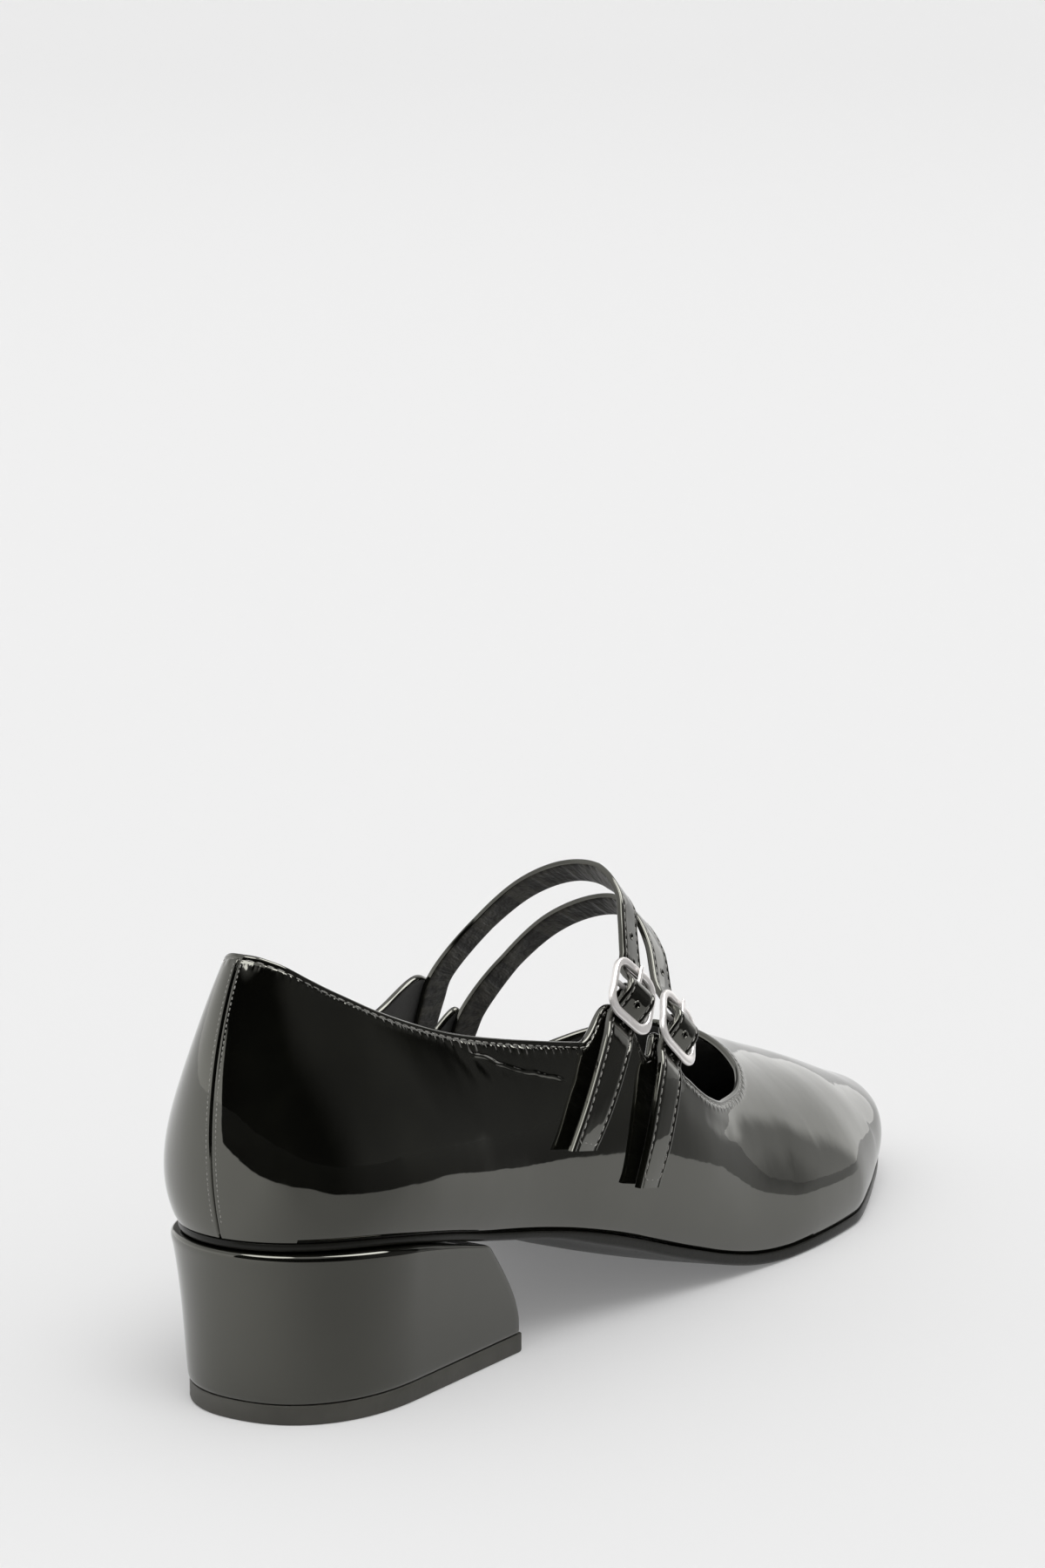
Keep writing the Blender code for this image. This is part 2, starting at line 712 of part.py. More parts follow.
def strap_path(strap, buckle):
    """Centre line from behind the tab, over the instep, through the buckle, to the tail.

    Each entry is a point and the direction across the strap there.
    """
    half = 0.5 * STRAP_THICKNESS
    path = []
    for drop in (STRAP_SEAM, 0.5 * STRAP_SEAM, 0.0):
        point, normal, up, forward = surface_frame(strap.tab_x, strap.tab_top - drop, 1)
        behind = WALL + GAP + half + SEAM_CLEAR * drop / STRAP_SEAM
        path.append((point - normal * behind, (forward - up * TAB_LEAN).normalized()))
    for row in strap.arch:
        path.append((Vector((row.x, row.y, row.z)), Vector((1.0, row.turn, -row.lean)).normalized()))

    end_up, end_out = frame_end()
    under = FRAME_RADIUS + GAP + half
    over = BAR_RADIUS + BAR_PLAY + LOOP_THICKNESS + GAP + half
    through = (
        (end_up + 3.5, end_out - under + 0.1),
        (end_up, end_out - under),
        (0.55 * end_up, 0.5 * (over + end_out - under) - 0.3),
        (0.12 * end_up, over - 0.1),
        (-0.2 * end_up, over - 0.3),
        (-0.6 * end_up, 0.5 * (over - end_out - under) - 0.1),
        (-end_up, -end_out - under),
    )
    path += [(buckle.at(up, out), buckle.across) for up, out in through]

    start = buckle.at(-end_up - 1.0, 0.0)
    bend = buckle.at(-end_up - 12.0, 0.0)
    end = Vector((strap.tail_x, 0.0, strap.tail_z))
    steps = 4
    for i in range(1, steps + 1):
        s = i / steps
        place = start.lerp(bend, s).lerp(bend.lerp(end, s), s)
        point, normal, _, _ = surface_frame(place.x, place.z, -1)
        clear = half + TAIL_CLEAR + 1.0 * s
        path.append((point + normal * clear, buckle.across.lerp(TAIL_ACROSS, s * s)))
    return path


def make_strap(strap, buckle, material, parent):
    """Narrow strap with softened edges, slotted where the prong passes."""
    steps = 4
    nodes = strap_path(strap, buckle)
    path = smooth_path([point for point, _ in nodes], steps)
    across_hints = [across for _, across in nodes]
    half_width = 0.5 * STRAP_WIDTH
    half = 0.5 * STRAP_THICKNESS
    edge = 0.35
    corners = (
        (half_width, half - edge), (half_width - edge, half),
        (edge - half_width, half), (-half_width, half - edge),
        (-half_width, edge - half), (edge - half_width, -half),
        (half_width - edge, -half), (half_width, edge - half),
    )
    sections = []
    for i, direction in enumerate(tangents(path)):
        node, part = divmod(i, steps)
        following = min(node + 1, len(nodes) - 1)
        hint = across_hints[node].lerp(across_hints[following], part / steps)
        across = (hint - direction * hint.dot(direction)).normalized()
        out = direction.cross(across)
        sections.append([across * a + out * b for a, b in corners])
    # the free end is cut on a slant, along the last hint
    slant = across_hints[-1].normalized()
    stretch = 1.0 / slant.dot(across)
    sections[-1] = [slant * a * stretch + out * b for a, b in corners]
    piece = make_object(strap.name + "_strap", sweep(path, sections, False), material, parent)
    start, tip = prong_line(buckle)
    slot_path = [start.lerp(tip, -0.3), tip]
    slot_sections = [
        flat_section(buckle, direction, PRONG_CLEARANCE) for direction in tangents(slot_path)
    ]
    slot_name = strap.name + "_prong_slot"
    slot = make_object(slot_name, sweep(slot_path, slot_sections, False), material, parent)
    cut(piece, slot)
    return piece


def flat_section(buckle, direction, extra=0.0):
    """The prong's flattened round section, made larger all round by extra."""
    radius = 0.5 * PRONG_WIDTH + extra
    squash = (0.5 * PRONG_THICKNESS + extra) / radius
    return round_section(direction, buckle.across, radius, RIBBON_SIDES, squash)


def prong_line(buckle):
    """The prong's straight part: from the centre bar to the frame's upper bar."""
    half = 0.5 * PRONG_THICKNESS
    ring = BAR_RADIUS + BAR_PLAY + half
    end_up, end_out = frame_end()
    tip_out = end_out + FRAME_RADIUS + BAR_PLAY + half
    return [buckle.at(0.3, ring), buckle.at(end_up + 1.0, tip_out)]


def make_prong(strap, buckle, material, parent):
    """A hook round the centre bar, then straight to rest on the end bar."""
    ring = BAR_RADIUS + BAR_PLAY + 0.5 * PRONG_THICKNESS
    path = []
    steps = 12
    for i in range(steps + 1):
        angle = math.radians(HOOK_END + HOOK_SWEEP * (1.0 - i / steps))
        path.append(buckle.at(ring * math.cos(angle), ring * math.sin(angle)))
    path.append(prong_line(buckle)[-1])
    sections = [flat_section(buckle, direction) for direction in tangents(path)]
    name = strap.name + "_buckle_prong"
    return make_object(name, sweep(path, sections, False), material, parent)


def make_frame(strap, buckle, material, parent):
    """Rounded rectangle of flattened wire with a round centre bar."""
    path = []
    corner_steps = 4
    inner_width = FRAME_HALF_WIDTH + FRAME_RADIUS - FRAME_CORNER
    inner_length = FRAME_HALF_LENGTH - FRAME_CORNER
    for quarter, (sx, sy) in enumerate(((1, 1), (-1, 1), (-1, -1), (1, -1))):
        for i in range(corner_steps + 1):
            angle = 0.5 * math.pi * (quarter + i / corner_steps)
            across = sx * inner_width + FRAME_CORNER * math.cos(angle)
            up = sy * inner_length + FRAME_CORNER * math.sin(angle)
            path.append(buckle.tilted(up, 0.0, across))
    normal = (buckle.tilted(0.0, 1.0) - buckle.tilted(0.0, 0.0)).normalized()
    sections = [
        round_section(direction, normal, FRAME_RADIUS, RIBBON_SIDES)
        for direction in tangents(path, True)
    ]
    piece = make_object(strap.name + "_buckle_frame", sweep(path, sections, True), material, parent)
    reach = FRAME_HALF_WIDTH + FRAME_RADIUS
    bar_path = [buckle.at(0.0, 0.0, -reach), buckle.at(0.0, 0.0, reach)]
    bar_sections = [
        round_section(buckle.across, buckle.up, BAR_RADIUS, RIBBON_SIDES) for _ in bar_path
    ]
    bar = make_object(strap.name + "_bar", sweep(bar_path, bar_sections, False), material, parent)
    join(piece, bar)
    return piece


def make_loop(strap, buckle, material, parent):
    """Folded leather tab that holds the centre bar and is sewn to the ear."""
    inner = BAR_RADIUS + BAR_PLAY
    outer = inner + LOOP_THICKNESS
    leg_out = GAP - BAR_STANDOFF
    leg_thickness = 2.0 * LOOP_THICKNESS
    outline = [
        (-outer - 0.8, leg_out), (-LOOP_LEG, leg_out), (-LOOP_LEG, leg_out + leg_thickness),
        (-outer - 1.6, leg_out + leg_thickness),
    ]
    steps = 10
    for i in range(steps + 1):
        angle = math.radians(160.0 - 260.0 * i / steps)
        outline.append((outer * math.cos(angle), outer * math.sin(angle)))
    mesh_data = bmesh.new()
    rows = []
    for across in (-0.5 * LOOP_WIDTH, 0.5 * LOOP_WIDTH):
        rows.append([mesh_data.verts.new(buckle.at(up, out, across)) for up, out in outline])
    add_strip(mesh_data, rows[0], rows[1], True)
    mesh_data.faces.new(rows[0])
    mesh_data.faces.new(rows[1])
    piece = make_object(strap.name + "_buckle_loop", mesh_data, material, parent)

    reach = LOOP_WIDTH
    ends = [buckle.at(0.0, 0.0, -reach), buckle.at(0.0, 0.0, reach)]
    eye_sections = [round_section(buckle.across, buckle.up, inner, 12) for _ in ends]
    eye = make_object(strap.name + "_eye", sweep(ends, eye_sections, False), material, parent)
    cut(piece, eye)

    slot_data = bmesh.new()
    slot_rows = []
    for across in (-0.5 * LOOP_SLOT, 0.5 * LOOP_SLOT):
        corners = ((-2.6, -3.5), (-2.6, 3.5), (3.5, 3.5), (3.5, -3.5))
        slot_rows.append([slot_data.verts.new(buckle.at(up, out, across)) for up, out in corners])
    add_strip(slot_data, slot_rows[0], slot_rows[1], True)
    slot_data.faces.new(slot_rows[0])
    slot_data.faces.new(slot_rows[1])
    notch = make_object(strap.name + "_notch", slot_data, material, parent)
    cut(piece, notch)
    return piece


def centre_on_floor(parent):
    """Carry the shoe so that its own box is centred above the world's origin."""
    bpy.context.view_layer.update()
    shown = [piece for piece in parent.children if not piece.hide_render]
    corners = [v.co for piece in shown for v in piece.data.vertices]
    middle = [0.5 * (min(c[i] for c in corners) + max(c[i] for c in corners)) for i in (0, 1)]
    parent.location = (-middle[0], -middle[1], -min(c.z for c in corners))


def build():
    for old in list(bpy.data.objects):
        bpy.data.objects.remove(old)
    shoe = bpy.data.objects.new("shoe", None)
    bpy.context.scene.collection.objects.link(shoe)

    patent = make_material("black_patent", (0.010, 0.010, 0.009), 0.08, coat=1.0)
    lining = make_material("sock_lining", (0.060, 0.055, 0.048), 0.6)
    sole_black = make_material("sole_black", (0.015, 0.015, 0.014), 0.45)
    rubber = make_material("lift_rubber", (0.055, 0.053, 0.045), 0.7)
    heel_cover = make_material("heel_patent", (0.012, 0.012, 0.011), 0.1, coat=1.0)
    silver = make_material("buckle_silver", (0.75, 0.74, 0.73), 0.15, metallic=1.0)

    make_upper(patent, shoe)
    make_outsole(sole_black, shoe)
    make_insole(lining, shoe)
    make_heel_block(heel_cover, shoe)
    make_heel_lift(rubber, shoe)
    for strap in STRAPS:
        buckle = BuckleFrame(strap)
        make_strap(strap, buckle, patent, shoe)
        make_frame(strap, buckle, silver, shoe)
        make_prong(strap, buckle, silver, shoe)
        make_loop(strap, buckle, patent, shoe)
    centre_on_floor(shoe)


build()
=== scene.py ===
"""Looks of a right mary jane shoe in black patent leather, on a low block heel.

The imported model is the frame.  Every piece is worked out in millimetres in the
last's own axes (x from the heel's back to the toe, y to the inner side of the
foot, z up) and carried to the frame's metres when its mesh is made.
"""

import logging
import math
from dataclasses import dataclass, field
from enum import Enum
from typing import NamedTuple, Optional, Sequence, Union

import bmesh
import bpy
import numpy as np
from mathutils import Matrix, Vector


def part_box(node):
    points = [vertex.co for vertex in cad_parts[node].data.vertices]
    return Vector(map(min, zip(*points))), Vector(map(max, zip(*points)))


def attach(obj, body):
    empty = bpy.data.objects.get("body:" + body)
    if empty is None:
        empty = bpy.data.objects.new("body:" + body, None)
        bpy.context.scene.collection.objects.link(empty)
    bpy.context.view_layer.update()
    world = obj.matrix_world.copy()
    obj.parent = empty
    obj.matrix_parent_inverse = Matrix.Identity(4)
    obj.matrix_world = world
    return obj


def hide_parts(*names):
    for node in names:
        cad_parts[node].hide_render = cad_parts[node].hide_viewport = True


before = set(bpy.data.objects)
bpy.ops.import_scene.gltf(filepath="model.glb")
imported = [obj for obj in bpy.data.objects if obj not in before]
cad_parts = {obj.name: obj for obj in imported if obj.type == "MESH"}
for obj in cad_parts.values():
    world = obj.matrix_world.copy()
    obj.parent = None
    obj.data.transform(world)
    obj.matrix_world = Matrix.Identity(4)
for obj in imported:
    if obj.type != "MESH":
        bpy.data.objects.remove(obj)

LOG = logging.getLogger("shoe")
MM = 0.001
MERGE = 1e-6
NO_AREA = 1e-7
UV_UNIT = 10.0
HALVINGS = 40
PLATE_SHARP = 50.0
TURN = 2.0 * math.pi
QUARTER = 0.5 * math.pi
Array = np.ndarray
Number = Union[float, Array]
Color = tuple[float, float, float]
Range = tuple[float, float]
Piece = bpy.types.Object
Material = bpy.types.Material


# --- curves and tables
class Smooth:
    """Cubic through a few points that adds no hump between them."""

    def __init__(self, xs: Sequence[float], ys: Sequence[float]) -> None:
        """Works out the tangents once.

        Args:
            xs: places, rising.
            ys: value at each place.
        """
        self.xs = np.array(xs, float)
        self.ys = np.array(ys, float)
        steps = np.diff(self.xs)
        slopes = np.diff(self.ys) / steps
        self.tangents = np.concatenate(([slopes[0]], np.zeros(len(xs) - 2), [slopes[-1]]))
        for i in range(1, len(xs) - 1):
            left, right = slopes[i - 1], slopes[i]
            if left * right > 0.0:
                near = 2.0 * steps[i] + steps[i - 1]
                far = steps[i] + 2.0 * steps[i - 1]
                self.tangents[i] = (near + far) / (near / left + far / right)

    def __call__(self, x: Number) -> Array:
        """Value at x, held level past both ends.

        Args:
            x: one place or many.

        Returns:
            The curve's value at each.
        """
        i = np.clip(np.searchsorted(self.xs, x, side="right") - 1, 0, len(self.xs) - 2)
        h = self.xs[i + 1] - self.xs[i]
        s = np.clip((x - self.xs[i]) / h, 0.0, 1.0)
        return (
            (1.0 + 2.0 * s) * (1.0 - s) ** 2 * self.ys[i]
            + s * (1.0 - s) ** 2 * h * self.tangents[i]
            + s * s * (3.0 - 2.0 * s) * self.ys[i + 1]
            + s * s * (s - 1.0) * h * self.tangents[i + 1]
        )


def smooth_columns(rows: Sequence[NamedTuple]) -> dict[str, Smooth]:
    """A curve over the rows' first field for each of their other fields."""
    places, *columns = zip(*rows)
    return {name: Smooth(places, values) for name, values in zip(rows[0]._fields[1:], columns)}


def smoothstep(low: float, high: float, x: Number) -> Array:
    """0 below low and 1 above high, eased between them."""
    s = np.clip((np.asarray(x, float) - low) / (high - low), 0.0, 1.0)
    return s * s * (3.0 - 2.0 * s)


def bell(x: Number, centre: float, width: float) -> Array:
    """Soft bump of height 1 at centre."""
    return np.exp(-(((np.asarray(x, float) - centre) / width) ** 2))


def unit(vectors: Array) -> Array:
    """The same vectors at length 1."""
    length = np.linalg.norm(vectors, axis=-1, keepdims=True)
    return vectors / np.maximum(length, 1e-12)


def directions(path: Array, closed: bool = False) -> Array:
    """Unit tangent at each point of a path.

    Args:
        path: its points.
        closed: whether it runs round to its start.

    Returns:
        One direction for each point.
    """
    if closed:
        return unit(np.roll(path, -1, axis=0) - np.roll(path, 1, axis=0))
    return unit(np.gradient(path, axis=0))


def arc_length(path: Array) -> Array:
    """Distance along a path from its first point."""
    return np.concatenate(([0.0], np.cumsum(np.linalg.norm(np.diff(path, axis=0), axis=1))))


def row_lengths(grid: Array) -> Array:
    """Distance along each row of a grid of points from its first point."""
    steps = np.linalg.norm(np.diff(grid, axis=1), axis=2)
    return np.concatenate([np.zeros((len(grid), 1)), np.cumsum(steps, axis=1)], axis=1)


def resampled(path: Array, places: Array, *others: Array) -> tuple[Array, ...]:
    """A path, and arrays that go with its points, read at distances along it.

    Args:
        path: its points.
        places: the distances.
        others: arrays with a row for each point.

    Returns:
        The path and the arrays at those distances.
    """
    along = arc_length(path)
    read = []
    for values in (path, *others):
        read.append(np.stack([np.interp(places, along, values[:, k]) for k in range(3)], axis=1))
    return tuple(read)


def smooth_path(points: Sequence[Array], steps: int) -> Array:
    """Centripetal curve through a few points.

    Args:
        points: what it goes through.
        steps: pieces in each span.

    Returns:
        The curve's points.
    """
    padded = [2.0 * points[0] - points[1], *points, 2.0 * points[-1] - points[-2]]
    path = []
    for p0, p1, p2, p3 in zip(padded, padded[1:], padded[2:], padded[3:]):
        knots = [0.0]
        for a, b in ((p0, p1), (p1, p2), (p2, p3)):
            knots.append(knots[-1] + math.sqrt(np.linalg.norm(b - a)))
        k0, k1, k2, k3 = knots
        for i in range(steps):
            t = k1 + (k2 - k1) * i / steps
            a1 = p0 + (p1 - p0) * (t - k0) / (k1 - k0)
            a2 = p1 + (p2 - p1) * (t - k1) / (k2 - k1)
            a3 = p2 + (p3 - p2) * (t - k2) / (k3 - k2)
            b1 = a1 + (a2 - a1) * (t - k0) / (k2 - k0)
            b2 = a2 + (a3 - a2) * (t - k1) / (k3 - k1)
            path.append(b1 + (b2 - b1) * (t - k1) / (k2 - k1))
    path.append(points[-1])
    return np.array(path)


# --- the last
class Side(Enum):
    """The two sides of a right foot; the value is the sign of y."""

    OUTER = -1
    INNER = 1


class Section(NamedTuple):
    """Half widths of the upper's lower edge at x, and the handles of its wall."""

    x: float
    lateral: float
    medial: float
    bulge: float
    rise: float
    outer_shoulder: float
    inner_shoulder: float
    ridge: float


class End(NamedTuple):
    """The same handles where the wall runs round the heel's back or the toe."""

    axis_x: float
    reach: float
    roundness: float
    bulge: float
    rise: float
    shoulder: float


class Rise(NamedTuple):
    """An ear, tab or dip of the topline."""

    back: float
    top_back: float
    top_front: float
    front: float
    height: float


@dataclass
class Stations:
    """Sections of the wall, one a column, as arrays."""

    axis: Array
    base: Array
    handles: Array
    fall: Array

    def taken(self, picks: Array) -> "Stations":
        """The same for some of the columns."""
        return Stations(self.axis[picks], self.base[picks], self.handles[picks], self.fall[picks])

    @staticmethod
    def joined(parts: Sequence["Stations"]) -> "Stations":
        """Several runs of columns as one."""
        names = ("axis", "base", "handles", "fall")
        return Stations(*(np.concatenate([getattr(p, name) for p in parts]) for name in names))

    def wall(self, t: Array) -> Array:
        """Points of the last's surface.

        Args:
            t: one row of shares for each column, 0 at the lower edge and 1 on the ridge.

        Returns:
            Points, by column and row.
        """
        out = self.base[:, :2] - self.axis
        radius = np.linalg.norm(out, axis=1)[:, None]
        out = out / radius
        bulge, rise, shoulder, ridge = (self.handles[:, k][:, None] for k in range(4))
        low = self.base[:, 2][:, None]
        a = (1.0 - t) ** 3
        b = 3.0 * t * (1.0 - t) ** 2
        c = 3.0 * t * t * (1.0 - t)
        d = t ** 3
        reach = a * radius + b * (radius + bulge) + c * shoulder
        x = self.axis[:, :1] + out[:, :1] * reach
        y = self.axis[:, 1:] + out[:, 1:] * reach
        z = a * low + b * (low + rise) + (c + d) * ridge
        z = z + self.fall[:, None] * (x - self.axis[:, :1]) * (c + d)
        return np.stack([x, y, z], axis=-1)


@dataclass
class Last:
    """The shoe's last: plan, side view and wall, from the same sizes as the CAD."""

    seat_height: float = 37.0
    sole_thickness: float = 2.6
    gap: float = 0.3
    throat_x: float = 168.0
    toe_swing: float = 2.5
    end_grip: int = 4
    throat_start: float = 134.0
    column_pitch: float = 0.55
    throat_columns: int = 64
    vamp_columns: int = 46
    seam_turns: tuple[float, ...] = (0.0, 0.25, 0.5, 0.8, 1.2, 1.7, 2.3, 3.1, 4.1)
    heel_turns: tuple[float, float, int] = (84.5, 1.8, 56)
    toe_turns: tuple[float, float, int] = (1.6, 90.0, 54)
    heel: End = End(28.0, 32.3, 2.0, 9.8, 29.7, 24.0)
    toe: End = End(206.0, 40.0, 2.3, 3.5, 10.0, 25.0)
    sections: tuple[Section, ...] = (
        Section(28.0, 24.9, 24.9, 13.9, 24.7, -12.0, -12.0, 108.4),
        Section(60.0, 25.8, 25.3, 13.0, 20.0, 7.0, 5.0, 93.0),
        Section(95.0, 29.4, 28.6, 12.0, 18.0, 18.0, 12.0, 99.0),
        Section(121.0, 32.0, 33.4, 10.5, 18.0, 24.5, 18.0, 80.0),
        Section(141.0, 33.8, 38.2, 9.0, 17.0, 22.0, 20.0, 62.0),
        Section(166.0, 35.6, 41.5, 7.0, 15.0, 24.0, 24.0, 46.5),
        Section(188.0, 34.2, 39.6, 6.0, 13.0, 24.0, 24.0, 38.0),
        Section(206.0, 28.3, 34.8, 5.0, 12.0, 20.0, 20.0, 32.0),
    )
    edge_levels: tuple[tuple[float, float], ...] = (
        (-5.0, 37.6), (12.0, 36.6), (26.0, 34.7), (39.0, 32.2), (50.0, 29.7), (59.0, 27.9),
        (70.0, 25.7), (80.5, 23.3), (91.0, 20.4), (102.6, 16.7), (114.0, 12.7), (123.0, 9.8),
        (130.0, 7.6), (137.0, 5.7), (144.0, 4.2), (151.0, 3.3), (158.0, 2.9), (186.0, 2.9),
        (202.0, 4.1), (218.0, 6.3), (232.0, 9.0), (247.0, 12.4),
    )
    topline_levels: tuple[tuple[float, float], ...] = (
        (-8.0, 92.4), (3.0, 91.8), (6.5, 90.2), (12.5, 86.4), (20.0, 82.0), (27.5, 77.9),
        (38.0, 73.3), (49.5, 69.3), (62.0, 66.1), (76.0, 63.1), (88.0, 60.6), (98.0, 57.4),
        (106.0, 54.0), (113.0, 51.0), (119.0, 47.6), (124.0, 43.9), (129.0, 41.2),
        (136.0, 38.9), (146.0, 38.3), (157.0, 40.4), (168.0, 46.0),
    )
    ears: tuple[Rise, ...] = (
        Rise(83.5, 97.0, 99.5, 104.3, 9.0), Rise(104.3, 111.0, 113.5, 118.5, 6.4),
    )
    tabs: tuple[Rise, ...] = (
        Rise(20.0, 40.0, 68.0, 81.0, -1.0), Rise(81.0, 99.5, 107.5, 111.5, 9.8),
        Rise(111.5, 118.2, 126.2, 131.5, 7.6),
    )
    joint_reach: float = 15.0
    joint_blur: float = 11.0

    def __post_init__(self) -> None:
        """Turns the tables into smooth columns."""
        self.columns = smooth_columns(self.sections)
        self.feather = Smooth(*zip(*self.edge_levels))
        self.side_line = Smooth(*zip(*self.topline_levels))

    def topline(self, x: Array, side: Side) -> Array:
        """Height of the topline with its ears or tabs.

        Args:
            x: places along the foot.
            side: outer or inner.

        Returns:
            The height at each.
        """
        z = self.side_line(x)
        for rise in (self.ears if side is Side.OUTER else self.tabs):
            up = smoothstep(rise.back, rise.top_back, x)
            down = 1.0 - smoothstep(rise.top_front, rise.front, x)
            z = z + rise.height * up * down
        return z

    def half_width(self, x: Number, side: Side) -> Array:
        """Half width of the upper's lower edge."""
        return self.columns["lateral" if side is Side.OUTER else "medial"](x)

    def straight(self, x: Array, side: Side) -> Stations:
        """Sections square to the foot.

        Args:
            x: places along the foot.
            side: outer or inner.

        Returns:
            One station for each place.
        """
        centre = 0.5 * (self.columns["medial"](x) - self.columns["lateral"](x))
        shoulder = "outer_shoulder" if side is Side.OUTER else "inner_shoulder"
        names = ("bulge", "rise", shoulder, "ridge")
        handles = np.stack([self.columns[name](x) for name in names], axis=1)
        y = side.value * self.half_width(x, side)
        base = np.stack([x, y, self.feather(x)], axis=1)
        return Stations(np.stack([x, centre], axis=1), base, handles, np.zeros(len(x)))

    def rounded(self, end: End, forward: float, turns: Array, side: Side) -> Stations:
        """Sections fanned about the axis of the round heel or toe.

        Args:
            end: the heel or the toe.
            forward: 1 at the toe and -1 at the heel.
            turns: angles from 0 beside the axis to a quarter turn.
            side: outer or inner.

        Returns:
            One station for each angle.
        """
        beside = self.straight(np.array([end.axis_x]), side)
        axis, radius = beside.axis[0], abs(beside.base[0, 1] - beside.axis[0, 1])
        power = 2.0 / end.roundness
        along = end.reach * np.sin(turns) ** power
        across = radius * np.maximum(np.cos(turns), 0.0) ** power
        swing = taper = fall = 0.0
        if forward > 0.0:
            swing = self.toe_swing
            behind = end.axis_x - 1.0
            taper = self.half_width(end.axis_x, side) - self.half_width(behind, side)
            fall = self.columns["ridge"](end.axis_x) - self.columns["ridge"](behind)
        across = across + taper * along * np.cos(turns)
        x = end.axis_x + forward * along
        y = axis[1] + side.value * across + swing * np.sin(turns) ** 2
        share = (np.sin(turns) ** self.end_grip)[:, None]
        ridge = beside.handles[0, 3]
        target = np.array([end.bulge, end.rise, end.shoulder, ridge])
        handles = beside.handles[0] + share * (target - beside.handles[0])
        base = np.stack([x, y, self.feather(x)], axis=1)
        return Stations(np.tile(axis, (len(x), 1)), base, handles, np.full(len(x), fall))

    def side_stations(self, side: Side) -> Stations:
        """Sections of one side from the middle of the heel's back to the toe tip.

        Args:
            side: outer or inner.

        Returns:
            The side's stations in order.
        """
        seam = QUARTER - np.radians(self.seam_turns)
        heel_turns = np.concatenate([seam, np.radians(np.linspace(*self.heel_turns))])
        s = np.arange(self.throat_columns) / self.throat_columns
        places = np.concatenate([
            np.arange(self.heel.axis_x, self.throat_start, self.column_pitch),
            self.throat_x - (self.throat_x - self.throat_start) * (1.0 - s) ** 2,
            np.linspace(self.throat_x, self.toe.axis_x, self.vamp_columns),
        ])
        toe_turns = np.radians(np.linspace(*self.toe_turns))
        return Stations.joined([
            self.rounded(self.heel, -1.0, heel_turns, side),
            self.straight(places, side),
            self.rounded(self.toe, 1.0, toe_turns, side),
        ])

    def ring(self) -> tuple[Stations, Array]:
        """All columns once round, from the heel's back by the outer side to the toe and home.

        The joints between straight and fanned sections are blended.

        Returns:
            The stations, and the sign of y of each column's side.
        """
        outer, inner = (self.side_stations(side) for side in (Side.OUTER, Side.INNER))
        count = len(outer.axis)
        back = np.arange(count - 2, 0, -1)
        ring = Stations.joined([outer, inner.taken(back)])
        sides = np.concatenate([-np.ones(count), np.ones(len(back))])
        weight = bell(ring.base[:, 0], self.heel.axis_x, self.joint_reach)
        weight = weight + bell(ring.base[:, 0], self.toe.axis_x, self.joint_reach)
        reach = int(3 * self.joint_blur)
        offsets = np.arange(-reach, reach + 1)
        kernel = bell(offsets, 0.0, math.sqrt(2.0) * self.joint_blur)
        kernel = kernel / kernel.sum()
        for name in ("axis", "base", "handles"):
            values = getattr(ring, name)
            soft = sum(k * np.roll(values, o, axis=0) for k, o in zip(kernel, offsets))
            setattr(ring, name, values + weight[:, None] * (soft - values))
        return ring, sides

    def top_shares(self, ring: Stations, sides: Array) -> Array:
        """The share at which each column reaches the topline, 1 where the vamp closes it.

        Args:
            ring: the stations.
            sides: the sign of y of each column's side.

        Returns:
            One share for each column.
        """
        low = np.zeros(len(sides))
        high = np.ones(len(sides))
        for _ in range(HALVINGS):
            middle = 0.5 * (low + high)
            point = ring.wall(middle[:, None])[:, 0]
            outer = self.topline(point[:, 0], Side.OUTER)
            inner = self.topline(point[:, 0], Side.INNER)
            under = point[:, 2] < np.where(sides < 0.0, outer, inner)
            low = np.where(under, middle, low)
            high = np.where(under, high, middle)
        return np.where(ring.axis[:, 0] >= self.throat_x - 1e-6, 1.0, low)

    def wall_point(self, x: float, z: float, side: Side) -> Array:
        """The wall's point at a place and height.

        Args:
            x: place along the foot.
            z: height.
            side: outer or inner.

        Returns:
            The point.
        """
        station = self.straight(np.array([x]), side)
        low, high = 0.0, 1.0
        for _ in range(HALVINGS):
            middle = 0.5 * (low + high)
            if station.wall(np.array([[middle]]))[0, 0, 2] < z:
                low = middle
            else:
                high = middle
        return station.wall(np.array([[low]]))[0, 0]

    def surface_frame(self, x: float, z: float, side: Side,
                      reach: float = 0.5) -> tuple[Array, Array, Array, Array]:
        """The wall's place and directions at one spot.

        Args:
            x: place along the foot.
            z: height.
            side: outer or inner.
            reach: how far away the neighbours lie that give the directions.

        Returns:
            Point, outward normal, upward direction and forward direction.
        """
        point = self.wall_point(x, z, side)
        up = unit(self.wall_point(x, z + reach, side) - self.wall_point(x, z - reach, side))
        forward = self.wall_point(x + reach, z, side) - self.wall_point(x - reach, z, side)
        normal = unit(np.cross(forward, up)) * -side.value
        forward = unit(forward - up * forward.dot(up))
        if normal[1] * side.value < 0.0:
            normal = -normal
        return point, normal, up, forward


